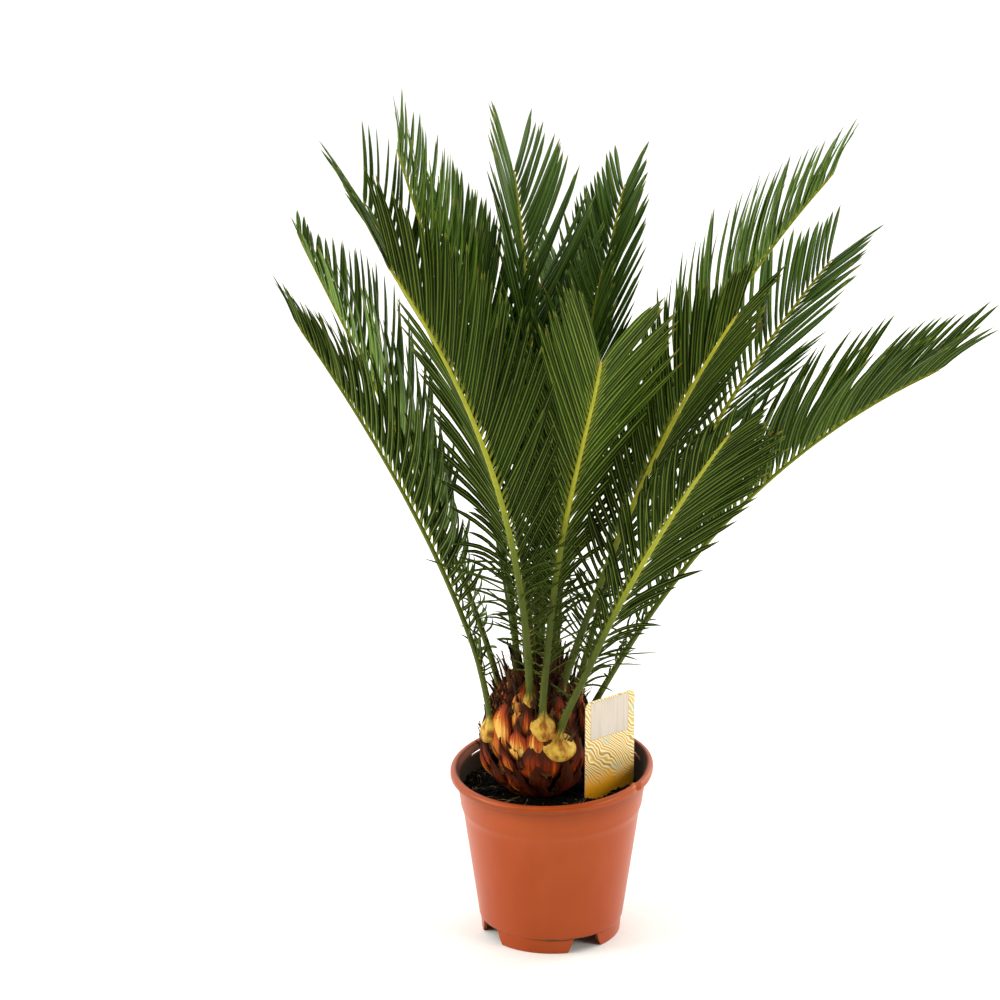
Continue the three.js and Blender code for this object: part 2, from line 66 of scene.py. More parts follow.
RIB = dict(foot_half=3.15, tip_half=0.9, sunk=9, swell_length=9.6, swell_drop=0.42, swell_share=1.3,
           heel=-0.25, ridge=0.75, keel=0.9, steps=160, bow_reach=70)
LEAFLET = dict(first=0.2, root_angle=66, rise_root=50, rise_tip=42, forward=0.45, outward=0.32,
               droop=0.10, droop_loss=0.3, full_from=0.42, taper_from=0.55, pitch=7.0,
               half_width=2.3)
# Room between the peat and the pot, columns of the pot's grid, and the camera's place and lens.
CLEAR = 0.3
POT_COLUMNS = 192
CAMERA = dict(place=(-38.1, -2386.0, 1128.1), pitch=18.4, lens=126, sensor=36)

# One row for each frond: azimuth and lean at its foot and at its tip, how early it bends, length,
# bearing, radius and height of its foot, longest leaflet, roll, taper, sweep and swell. Then come
# the green that its leaflets take and how golden its rib is. The last three pairs are for the row
# on its left and the row on its right: how much further the leaflets rise above its plane, how much
# wider the lowest ones spread, and how far each is turned about its own length.
FROND_ROWS = (
    ((40, 2), (0, 52), 1.15, 352, (8, 33, 176), 104, 2, 0.95, 17, 4.9, "olive", 0.9,
     (-22, 0), (0, -12), (24, 10)),
    ((45, 34), (12, 41), 0.46, 318, (35, 36, 166), 97, 30, 0.36, 22, 8.3, "shade", 0.8,
     (-14, 0), (0, -18), (22, -10)),
    ((-6, -50), (17, 36), 0.8, 415, (-14, 25, 188), 102, -15, 0.85, 17, 2.5, "shade", 0.8,
     (0, 5), (0, -3), (10, 22)),
    ((71, 79), (27, 62), 1.45, 383, (82, 35, 168), 102, 2, 0.62, 35, 3, "deep", 0.45,
     (0, 0), (0, 0), (-26, -24)),
    ((-73, -68), (4, 33), 0.41, 350, (-70, 34, 166), 102, 6, 0.42, 21, 3.9, "shade", 0.3,
     (0, 0), (0, 0), (14, -6)),
    ((-89, -121), (10, 32), 0.5, 371, (-115, 30, 180), 90, -15, 0.22, 31, 2.2, "bright", 0.5,
     (0, 0), (0, 0), (2, 14)),
    ((54, 48), (20, 35), 1.6, 350, (42, 22, 190), 92, 38, 0.52, 19, 1.5, "shade", 1.0,
     (0, 0), (0, 0), (16, 0)),
    ((81, 89), (13, 41), 1.48, 432, (88, 28, 188), 97, 5, 0.46, 33, 1.5, "bright", 0.6,
     (0, 0), (0, 0), (12, 20)),
    ((128, 136), (35, 59), 1.75, 393, (122, 30, 180), 91, -21, 0.51, 30, 2, "fresh", 0.7,
     (0, 0), (0, 0), (-20, -2)),
    ((-96, -114), (8, 20), 1.25, 403, (-145, 22, 190), 98, -15, 0.47, 34, 1.5, "bright", 0.6,
     (0, 0), (0, 0), (16, 16)),
    ((-172, -174), (1, 65), 1.8, 397, (-178, 19, 194), 98, -24, 0.70, 20, 1.5, "fresh", 0.7,
     (0, 0), (0, 0), (6, -28)),
    ((154, 163), (6, 48), 1.28, 380, (150, 24, 190), 84, 3, 0.45, 27, 1.5, "fresh", 0.7,
     (0, 0), (-22, -8), (-14, 6)),
    ((-114, -123), (-2, 37), 0.73, 369, (-95, 16, 196), 101, 6, 0.61, 37, 1.5, "fresh", 0.6,
     (0, 0), (0, 0), (22, 44)),
    ((172, 176), (14, 66), 1.2, 350, (178, 31, 176), 92, 8, 0.6, 22, 3, "fresh", 0.6,
     (0, 0), (0, 0), (10, 10)),
    ((-140, -150), (6, 34), 1.1, 330, (-150, 7, 201), 92, -10, 0.6, 20, 1, "fresh", 0.5,
     (0, 0), (0, 0), (10, 10)),
    ((152, 152), (5, 26), 1.1, 300, (75, 10, 200), 72, 10, 0.4, 32, 1, "fresh", 0.5,
     (0, 0), (0, 0), (10, 10)),
)
FROND_WORDS = ("azimuth", "lean", "ease", "length", "seat", "leaflet", "roll", "taper", "sweep",
               "swell", "green", "gold", "rise", "spread", "turn")
FRONDS = [dict(zip(FROND_WORDS, row), bow=(0, 0, 0), hang=(0, 0), fold=(0, 0), short=0.36)
          for row in FROND_ROWS]
# Bow is how far aside of its seat a stalk leaves the stem, before it bows over to its course. Hang
# and fold are how much further the leaflets of a row hang over, and fold up towards the tip. Short
# is how long the lowest leaflets are against the longest.
FRONDS[0].update(bow=(-2, -1, -1))
FRONDS[1].update(bow=(-7, -3, -4), hang=(0.15, 1))
FRONDS[2].update(hang=(0, 0.35), fold=(0, 24), short=0.62)
FRONDS[4].update(bow=(-2, -5, 0), hang=(0.15, 0.6))

pot_low, pot_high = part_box("pot")
AXIS = np.array([(pot_low.x + pot_high.x) / 2, (pot_low.y + pot_high.y) / 2, 0.0]) * 1000
STEM_AXIS = np.array(STEM["axis"], float)
UP = np.array([0.0, 0.0, 1.0])


# ---- Arithmetic on whole arrays -----------------------------------------------------------------

def mix(a, b, t):
    """a at t = 0, b at t = 1, in proportion between."""
    return a + (b - a) * t


def ease(low, high, x):
    """0 below low, 1 above high, and 3t^2 - 2t^3 between, t being the share of the way."""
    t = np.clip((x - low) / (high - low), 0, 1)
    return t * t * (3 - 2 * t)


def bell(x, width):
    """1 at zero, dying away on both sides as e to the minus (x / width) squared."""
    return np.exp(-(x / width) ** 2)


def unit(vector):
    """The vector divided by its own length."""
    return vector / np.linalg.norm(vector, axis=-1, keepdims=True)


def outward(azimuth):
    """Level unit vector at a bearing: sine to +X, cosine to -Y."""
    angle = np.radians(azimuth)
    return np.stack([np.sin(angle), -np.cos(angle), np.zeros_like(angle)], -1)


def waves(points, length, seed, count=24):
    """Smooth random relief about 0: the mean of many plane sine waves of about one wave length,
    each in a random direction and with a random phase, scaled to about -1 to 1."""
    rng = np.random.default_rng(seed)
    direction = unit(rng.normal(size=(count, 3)))
    pace = 2 * np.pi / (length * rng.uniform(0.7, 1.4, count))
    phase = rng.uniform(0, 2 * np.pi, count)
    return np.sin((points @ direction.T) * pace + phase).sum(-1) / np.sqrt(count)


# ---- Meshes from grids --------------------------------------------------------------------------

def quads(rows, columns, around=True):
    """Faces between neighbours of a grid whose points run row by row. Around joins each row's last
    point to its first."""
    step = np.arange(columns if around else columns - 1)
    after = (step + 1) % columns
    row = np.arange(rows - 1)[:, None] * columns
    corners = (row + step, row + after, row + columns + after, row + columns + step)
    return np.stack(corners, -1).reshape(-1, 4)


def shells(points, **marks):
    """A body of closed tubes: its points, faces and marks. Points are (tube, row, place round the
    ring, xyz). The rings are joined row by row, and the first and last are closed by a face of
    their own. A tube whose enclosed volume comes out negative has its faces turned round."""
    count, rows, ring = points.shape[:3]
    size = rows * ring
    start = (np.arange(count) * size)[:, None, None]
    walls = quads(rows, ring)[None] + start
    ends = np.stack([np.arange(ring)[::-1], np.arange(ring) + size - ring])[None] + start
    flat = points.reshape(-1, 3)
    middle = points.mean((1, 2))[:, None]
    a, b, c, d = (flat[walls[..., k]] - middle for k in range(4))
    inside_out = (np.cross(a, b) * c + np.cross(a, c) * d).sum((1, 2)) < 0
    for faces in (walls, ends):
        faces[inside_out] = faces[inside_out][..., ::-1]
    return points, [walls.reshape(-1, 4), ends.reshape(-1, ring)], marks


def joined(*parts):
    """Several (points, faces, marks) as one: the faces' numbers are raised by the points before."""
    points, faces, before = [], [], 0
    for part_points, part_faces, _ in parts:
        points.append(part_points.reshape(-1, 3))
        faces += [face + before for face in part_faces]
        before += len(points[-1])
    marks = {word: np.concatenate([np.broadcast_to(part[2][word], part[0].shape[:-1]).ravel()
                                   for part in parts]) for word in parts[0][2]}
    return np.concatenate(points), faces, marks


def piece(name, body, finish, stands_for=(), sharp=None):
    """A mesh object from (points, faces, marks), with its place in its mesh. Marks are numbers kept
    on the points for the material. Sharp is the angle from which an edge isn't shaded round."""
    points, faces, marks = body
    sides = np.concatenate([np.full(len(face), face.shape[1]) for face in faces])
    corners = np.concatenate([face.ravel() for face in faces])
    mesh = bpy.data.meshes.new(name)
    place = (points.reshape(-1, 3) + AXIS) / 1000
    mesh.vertices.add(len(place))
    mesh.vertices.foreach_set("co", place.astype(np.float32).ravel())
    mesh.loops.add(len(corners))
    mesh.loops.foreach_set("vertex_index", corners.astype(np.int32))
    mesh.polygons.add(len(sides))
    mesh.polygons.foreach_set("loop_start", (np.cumsum(sides) - sides).astype(np.int32))
    mesh.polygons.foreach_set("use_smooth", np.ones(len(sides), bool))
    for word, values in marks.items():
        values = np.broadcast_to(values, points.shape[:-1]).astype(np.float32).ravel()
        mesh.attributes.new(word, "FLOAT", "POINT").data.foreach_set("value", values)
    mesh.update(calc_edges=True)
    if sharp is not None:
        mesh.set_sharp_from_angle(angle=np.radians(sharp))
    mesh.materials.append(finish)
    made = bpy.data.objects.new(name, mesh)
    bpy.context.scene.collection.objects.link(made)
    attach(made, "root")
    if stands_for:
        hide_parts(*stands_for)
    return made


# ---- Finishes -----------------------------------------------------------------------------------

def linear(code):
    """A colour's sRGB hex code as linear red, green and blue, with 1 for alpha: below 0.04045 a
    share is divided by 12.92, and above it is (share + 0.055) / 1.055 to the power 2.4."""
    share = np.array([int(code[k:k + 2], 16) for k in (1, 3, 5)]) / 255
    return (*np.where(share <= 0.04045, share / 12.92, ((share + 0.055) / 1.055) ** 2.4), 1.0)


def fill(made, values):
    """Fills a node's inputs, by number or name: an output is linked, a number is set, and a hex
    code is set as a colour."""
    for word, value in values.items():
        socket = made.inputs[word.replace("_", " ") if isinstance(word, str) else word]
        if isinstance(value, bpy.types.NodeSocket):
            made.id_data.links.new(value, socket)
        else:
            socket.default_value = linear(value) if isinstance(value, str) else value


def node(tree, kind, *inputs, out=0, **words):
    """Adds one node and gives its first output, or the one named. Inputs come in the order of its
    sockets, or by a word that starts with a capital; every other word is a setting."""
    made = tree.nodes.new("ShaderNode" + kind)
    for word in [word for word in words if word[0].islower()]:
        setattr(made, word, words.pop(word))
    fill(made, {**dict(enumerate(inputs)), **words})
    return made.outputs[out] if made.outputs else None


def ramp(colour, *stops):
    """A colour ramp's output, once its stops are set, each a position and a hex code."""
    elements = colour.node.color_ramp.elements
    while len(elements) < len(stops):
        elements.new(1.0)
    for element, (position, code) in zip(elements, stops):
        element.position = position
        element.color = linear(code)
    return colour


def started(name, **sockets):
    """A new material with plain values on its shader's own sockets, and what adds nodes to it."""
    material = bpy.data.materials.new(name)
    material.use_nodes = True
    material.node_tree.nodes.clear()
    add = partial(node, material.node_tree)
    add("OutputMaterial", add("BsdfPrincipled", **sockets))
    return material, add


def finished(material, **sockets):
    """The material, once the results of its nodes are led to its shader."""
    fill(material.node_tree.nodes["Principled BSDF"], sockets)
    return material


def moulded_polypropylene():
    """Injection-moulded polypropylene of a nursery pot: soft satin gloss, an even terracotta dye
    with faint cloudy flow marks, small scuffs, dirt along the foot's seam, painted shade under the
    lip, and inside a dark mark that is partly earth and partly painted shade."""
    material, add = started("moulded_polypropylene", IOR=1.49, Roughness=0.42,
                            Specular_IOR_Level=0.48, Specular_Tint="#ffd8ae")
    place = add("TexCoord", out="Object")
    # Flow marks about 40 mm across, drawn out upwards to twice that.
    clouds = add("TexNoise", add("Mapping", place, Scale=(1, 1, 0.5)), Scale=25, Detail=3,
                 Roughness=0.55)
    dye = ramp(add("ValToRGB", clouds), (0.32, "#9a390c"), (0.5, "#a03f12"), (0.68, "#a64518"))
    # Specks of about 1.5 mm, a few to a hand's width, darker than the dye.
    speck = add("MapRange", add("TexVoronoi", place, Scale=90), 0.05, 0.09, 0.35, 0)
    rare = add("Math", add("TexNoise", place, Scale=60, Detail=1), 0.6, operation="GREATER_THAN")
    dye = add("MixRGB", add("Math", speck, rare, operation="MULTIPLY"), dye, "#5a2a18")
    # Dirt in grains of about 1 mm that keeps to the seam over the foot ring.
    height = add("SeparateXYZ", place, out="Z")
    seam = add("Math", height, POT["foot_height"] / 1000, operation="SUBTRACT")
    near = add("MapRange", add("Math", seam, operation="ABSOLUTE"), 0, 0.0022, 0.62, 0)
    patches = add("TexNoise", place, Scale=45, Detail=1)
    dirt = add("Math", add("Math", patches, 0.9, near, operation="MULTIPLY_ADD"),
               add("TexNoise", place, Scale=700, Detail=3, Roughness=0.7), operation="ADD")
    dye = add("MixRGB", add("MapRange", dirt, 1.3, 1.48, 0, 0.85), dye, "#3a2418")
    # Painted shade: a darker strip of 16 mm under the lip, kept mostly off the lip itself. Inside,
    # a dark mark on the inner wall that is partly a film of earth and partly painted shade.
    painted_lip_shade = add("MapRange", height, 0.106, 0.124, 0, 0.55, interpolation_type="SMOOTHSTEP")
    lip = add("MapRange", height, 0.1225, 0.1245, 1, 0.25)
    dye = add("MixRGB", add("Math", painted_lip_shade, lip, operation="MULTIPLY"), dye, "#b7ab9c",
              blend_type="MULTIPLY")
    inside = add("Attribute", attribute_name="inside", out="Fac")
    gloss = add("MapRange", clouds, 0.3, 0.7, 0.32, 0.4)
    # The mould's spark-eroded grain, drawn coarser than it is, 0.7 mm, so that it shows.
    grain = add("TexNoise", place, Scale=1400, Detail=2)
    # Inside, the wall goes to a near black brown: partly earth, partly painted shade.
    return finished(material, Base_Color=add("MixRGB", inside, dye, "#1e160a"),
                    Roughness=add("Math", inside, 0.5, gloss, operation="MULTIPLY_ADD"),
                    Normal=add("Bump", Height=grain, Strength=0.12, Distance=0.0002))


def damp_peat(name, dark, light, size):
    """Damp peat and bark compost: crumbly, nearly black, with browner grains of `size` mm."""
    material, add = started(name, IOR=1.4, Roughness=0.9, Specular_IOR_Level=0.1)
    grains = add("TexNoise", add("TexCoord", out="Object"), Scale=1000 / size, Detail=4,
                 Roughness=0.7)
    return finished(material, Base_Color=ramp(add("ValToRGB", grains), (0.4, dark), (0.7, light)),
                    Normal=add("Bump", Height=grains, Strength=0.8, Distance=size / 4000))


def dry_fibre(name, dark, light):
    """Dry plant fibre: dull, from one brown to another along and between the strands."""
    material, add = started(name, IOR=1.45, Roughness=0.75, Specular_IOR_Level=0.12)
    # Strands change colour over about 6 mm.
    bands = add("TexNoise", add("TexCoord", out="Object"), Scale=160, Detail=2)
    return finished(material, Base_Color=ramp(add("ValToRGB", bands), (0.38, dark), (0.62, light)))


def leaf_base_scale():
    """Old leaf base of a cycad: a hard waxy cushion, cream where it is fresh, stained orange to red
    brown towards its edges in fine lengthwise streaks, and drawn out into a brown papery point."""
    material, add = started("leaf_base_scale", IOR=1.45, Specular_IOR_Level=0.12)
    across, along, age, deal = (add("Attribute", attribute_name=word, out="Fac")
                                for word in ("across", "along", "age", "deal"))
    # Streaks of about 1 mm run up the scale for most of its length.
    field = add("CombineXYZ", across, along, add("Math", deal, 40, operation="MULTIPLY"))
    drawn = add("Mapping", field, Scale=(8, 1.1, 1))
    streaks = add("TexNoise", drawn, Scale=1, Detail=4, Roughness=0.65)
    patches = add("TexNoise", field, Scale=1.8, Detail=2)
    # Stain grows away from a fresh spot low on the scale: across to the power 2.2, plus along,
    # counted from the spot, to the power 1.7.
    wide = add("Math", add("Math", across, operation="ABSOLUTE"), 2.2, operation="POWER")
    tall = add("Math", add("MapRange", along, 0.36, 0.66, 0, 1, clamp=False), operation="ABSOLUTE")
    away = add("Math", wide, add("Math", tall, 1.7, operation="POWER"), operation="ADD")
    away = add("Math", streaks, 2.9, away, operation="MULTIPLY_ADD")
    away = add("Math", patches, 1.8, away, operation="MULTIPLY_ADD")
    # age, which adds to the stain, holds painted shade as well as ageing.
    stain = add("MapRange", add("Math", away, age, operation="ADD"), 1.7, 4.3, 0, 1)
    colour = ramp(add("ValToRGB", stain), (0.0, "#e6bc62"), (0.15, "#d3943c"), (0.26, "#b85f1d"),
                  (0.38, "#a34016"), (0.58, "#782a0e"), (0.82, "#431c0c"))
    # Peeled skin and dirt: dark flecks of about 1 mm drawn out lengthwise.
    flecks = add("TexNoise", drawn, Scale=1.7, Detail=3, Roughness=0.75)
    return finished(
        material, Base_Color=add("MixRGB", add("MapRange", flecks, 0.54, 0.66, 0, 0.7), colour,
                                 "#4a1f0c"),
        Roughness=add("MapRange", stain, 0, 1, 0.34, 0.7),
        Normal=add("Bump", Height=streaks, Strength=0.8, Distance=0.0009))


def papery_husk():
    """Dry papery bract: dull red brown to grey brown, with darker and paler lengthwise fibres."""
    material, add = started("papery_husk", IOR=1.45, Roughness=0.7, Specular_IOR_Level=0.15)
    across, along, deal = (add("Attribute", attribute_name=word, out="Fac")
                           for word in ("across", "along", "deal"))
    # Fibres about 0.4 mm apart run the whole length.
    field = add("CombineXYZ", across, along, add("Math", deal, 30, operation="MULTIPLY"))
    fibres = add("TexNoise", add("Mapping", field, Scale=(10, 1.2, 1)), Scale=1, Detail=4,
                 Roughness=0.65)
    brown = ramp(add("ValToRGB", add("Math", deal, 0.35, fibres, operation="MULTIPLY_ADD")),
                 (0.42, "#150c06"), (0.6, "#2c190c"), (0.76, "#4b2e16"), (0.94, "#6e4a28"))
    return finished(material, Base_Color=brown,
                    Normal=add("Bump", Height=fibres, Strength=0.6, Distance=0.0005))


def leaf_stalk():
    """Stalk and rib of a frond: smooth waxy skin, yellow on the swollen base, dark green on the
    bare stalk, and yellow green to golden along the blade, with a dry yellow-brown end."""
    material, add = started("leaf_stalk", IOR=1.45, Roughness=0.45, Specular_IOR_Level=0.15)
    past, along, gold, across = (add("Attribute", attribute_name=word, out="Fac")
                                 for word in ("past", "along", "gold", "across"))
    # Blade part: green to gold with the reach, more on the frond's own share of gold.
    ripe = add("MapRange", along, 0.18, 0.58, 0, 1, interpolation_type="SMOOTHSTEP")
    blade = ramp(add("ValToRGB", add("Math", ripe, gold, operation="MULTIPLY")),
                 (0.0, "#4a5418"), (0.3, "#646f1c"), (0.6, "#858e22"), (1.0, "#aeac30"))
    blade = add("MixRGB", add("MapRange", along, 0.965, 1, 0, 0.7), blade, "#b07f35")
    # Swollen base: cream yellow with brown streaks, lost in the green over 10 mm.
    field = add("Mapping", add("CombineXYZ", across, past, gold), Scale=(2.2, 0.12, 17))
    streaks = add("TexNoise", field, Scale=1, Detail=4, Roughness=0.6)
    base = ramp(add("ValToRGB", streaks),
                (0.36, "#d3b14c"), (0.48, "#bd9336"), (0.58, "#94581c"), (0.7, "#6a3314"))
    fade = add("MapRange", add("Math", streaks, 10, past, operation="MULTIPLY_ADD"), 7, 17, 0, 1,
               interpolation_type="SMOOTHSTEP")
    # Mottling of about 5 mm darkens the skin here and there.
    mottle = add("TexNoise", add("TexCoord", out="Object"), Scale=220, Detail=3)
    return finished(material, Base_Color=add(
        "MixRGB", add("MapRange", mottle, 0.3, 0.7, 0, 0.22), add("MixRGB", fade, base, blade),
        "#7d7a4a", blend_type="MULTIPLY"))


def leaf_blade(name, upper, under, vein, gloss, wax, lines_and_shade):
    """Leathery cycad leaflet: a dark waxy upper face and a duller lower one, both with painted
    shade in the hollows towards the rolled edges, a pale midrib and edge, a yellow-green root, and
    a pale or dry point."""
    material, add = started(name, IOR=1.45, Roughness=gloss, Specular_IOR_Level=wax)
    across, along, below, tone = (add("Attribute", attribute_name=word, out="Fac")
                                  for word in ("across", "along", "under", "tone"))
    # Blotches of about 12 mm, and each leaflet's own tint, which holds painted shade on the lowest
    # leaflets.
    blotches = add("TexNoise", add("TexCoord", out="Object"), Scale=85, Detail=2)
    spread = add("MapRange", add("Math", blotches, 0.5, tone, operation="MULTIPLY_ADD"),
                 0.2, 1.3, 0, 1)
    skin = add("MixRGB", add("Math", below, 0.51, operation="GREATER_THAN"),
               add("MixRGB", spread, *upper), add("MixRGB", spread, *under))
    # Across runs from -1 to 1 over 4.6 mm: painted shade in the hollow halfway to the rolled edge,
    # darkest there.
    aside = add("Math", across, operation="ABSOLUTE")
    hollow = ramp(add("ValToRGB", aside),
                  (0.16, "#ffffff"), (0.5, "#8e8e8e"), (0.72, "#b4b4b4"), (0.9, "#ffffff"))
    skin = add("MixRGB", lines_and_shade, skin, hollow, blend_type="MULTIPLY")
    # The midrib is about 0.7 mm wide, and each rolled edge 0.4 mm.
    midrib = add("MapRange", aside, 0.07, 0.2, lines_and_shade, 0)
    edge = add("MapRange", aside, 0.76, 0.94, 0, lines_and_shade * 0.6)
    skin = add("MixRGB", add("Math", midrib, edge, operation="MAXIMUM"), skin, vein)
    skin = add("MixRGB", add("MapRange", along, 0, 0.08, 0.85, 0), skin, "#8a9230")
    dry = ramp(add("ValToRGB", tone),
               (0.0, "#748a34"), (0.7, "#93963f"), (0.86, "#a8843f"), (0.97, "#7c4522"))
    skin = add("MixRGB", add("MapRange", along, 0.93, 0.985, 0, 0.8), skin, dry)
    # Fine lengthwise grain of the epidermis, a tenth of the leaflet's width apart.
    grain = add("Math", add("Math", across, 31, operation="MULTIPLY"), operation="SINE")
    return finished(material, Base_Color=skin,
                    Normal=add("Bump", Height=grain, Strength=0.15, Distance=0.0001))


def printed_card():
    """Coated card of a plant label, printed: a pale wooden panel over loose gold and olive brush
    lines on straw, with a trace of blue green, and a warm orange foot. The back is plain white."""
    material, add = started("printed_card", IOR=1.5, Roughness=0.32, Coat_Weight=0.3)
    across, up, front = (add("Attribute", attribute_name=word, out="Fac")
                         for word in ("across", "up", "front"))
    # Across and up are millimetres from the card's lower left corner.
    field = add("CombineXYZ", across, up)
    swirl = add("TexNoise", field, Scale=0.045, Detail=2)
    bent = add("VectorMath", swirl.node.outputs["Color"], (13, 13, 13), field,
               operation="MULTIPLY_ADD")
    # Waves with their scale, distortion, detail and detail's scale.
    strokes = add("TexWave", bent, 0.105, 3, 2, 0.5, bands_direction="DIAGONAL", out="Fac")
    paint = ramp(add("ValToRGB", strokes), (0.0, "#b0863a"), (0.16, "#e4b858"), (0.38, "#fff8da"),
                 (0.66, "#ffeaaa"), (0.95, "#d8aa4c"))
    washes = add("TexNoise", field, Scale=0.07, Detail=2)
    paint = add("MixRGB", add("MapRange", washes, 0.56, 0.68, 0, 0.55), paint, "#b4c9b4")
    foot = add("Math", swirl, -18, up, operation="MULTIPLY_ADD")
    paint = add("MixRGB", add("MapRange", foot, 2, 15, 1, 0), paint, "#ffb01c")
    # Panel of pale wood, 37 mm by 29 mm, with a thin dark outline and a grain of 2 mm.
    aside, above = (
        add("Math", add("Math", add("Math", value, middle, operation="SUBTRACT"),
                        operation="ABSOLUTE"), half, operation="SUBTRACT")
        for value, middle, half in ((across, 23.5, 18.5), (up, 63, 14.5)))
    reach = add("Math", aside, above, operation="MAXIMUM")
    boards = add("TexNoise", add("Mapping", field, Scale=(0.5, 0.03, 1)), Scale=1, Detail=3)
    wood = ramp(add("ValToRGB", boards), (0.3, "#c2b5a6"), (0.7, "#d3c7ba"))
    paint = add("MixRGB", add("Math", reach, 0, operation="LESS_THAN"), paint, wood)
    paint = add("MixRGB", add("Math", reach, -0.15, 0.2, operation="COMPARE"), paint, "#b19c84")
    return finished(material, Base_Color=add("MixRGB", front, "#f1eee6", paint))


def floor_paint():
    """Matt white studio floor with a barely visible roller grain of 3 mm."""
    material, add = started("floor_paint", Roughness=0.9)
    grain = add("TexNoise", add("TexCoord", out="Object"), Scale=300, Detail=1)
    return finished(material, Base_Color=ramp(add("ValToRGB", grain), (0.3, "#f1f1ef"),
                                              (0.7, "#f5f5f3")))


# ---- Pot ----------------------------------------------------------------------------------------

def wall_radius(z):
    """Outer radius of the tapering wall, without its collar."""
    return POT["foot_radius"] + POT["shoulder"] + POT["taper"] * z


def arc(centre, radius, start, end, count):
    """Points of a fillet: centre plus radius times (cosine, sine), from the start angle to the
    end."""
    angle = np.radians(np.linspace(start, end, count))
    return np.array(centre) + radius * np.stack([np.cos(angle), np.sin(angle)], -1)


def stadium(x, y, half_x, half_y):
    """Points of a rectangle's outline moved on to the outline with round ends that fits in it: the
    part of x beyond the straight middle, and y, are scaled to lie on the end's circle."""
    straight = half_x - half_y
    over = np.clip(np.abs(x) - straight, 0, None)
    shrink = half_y / np.maximum(np.hypot(over, y), 1e-6)
    round_x = np.sign(x) * (straight + over * shrink)
    on_end = over > 1e-6
    return np.where(on_end, round_x, x), np.where(on_end, y * shrink, y)


def pot_profile():
    """Outer and inner (radius, height) of the moulding, row by row from the middle of the floor to
    the top of the lip, with the number of the wall's last row. The floor is level, the wall tapers
    and steps out at its collar, and fillets join them to each other and to the lip."""
    floor = np.array([2, 14, 26, 33, 35.5, 38, 40.5, 43, 47, 50.5])
    low, high, brim = POT["foot_height"], POT["collar_height"], POT["height"]
    lip_foot, slot_top = brim - POT["lip_depth"], brim - RIM_SLOT["below"]
    rises = np.concatenate([np.linspace(low + 2, high - 0.6, 24), [high + 1, high + 3, high + 4],
                            np.linspace(high + 6, slot_top - RIM_SLOT["height"], 9),
                            [slot_top - RIM_SLOT["height"] / 2, slot_top]])
    step = POT["collar"] * ease(high - 2, high + 3, rises)
    outer = np.concatenate([
        np.stack([floor, np.full(len(floor), low)], -1),
        arc((wall_radius(low) - 0.9, low + 0.9), 0.9, -90, 0, 5),
        np.stack([wall_radius(rises) + step, rises], -1),
        [[wall_radius(lip_foot) + POT["collar"], lip_foot - 0.1]],
        arc((POT["lip_radius"] - 1, lip_foot + 1), 1, -90, -6, 5),
        arc((POT["lip_radius"] - 2.7, brim - 2.7), 2.7, 0, 90, 8)])
    top, edge = low + POT["floor"], POT["edge"]
    inner = np.concatenate([
        np.stack([floor * 0.97, np.full(len(floor), top)], -1),
        arc((wall_radius(top) - POT["wall"] - 1.5, top + 1.5), 1.5, -90, 0, 5),
        np.stack([wall_radius(rises) - POT["wall"], rises], -1),
        np.linspace([wall_radius(slot_top) - POT["wall"], slot_top + 0.2],
                    [POT["lip_mouth"], brim - 1], 10),
        arc((POT["lip_mouth"] + edge, brim - edge), edge, 180, 95, 4)])
    return outer, inner, len(floor) + 5 + len(rises) - 1


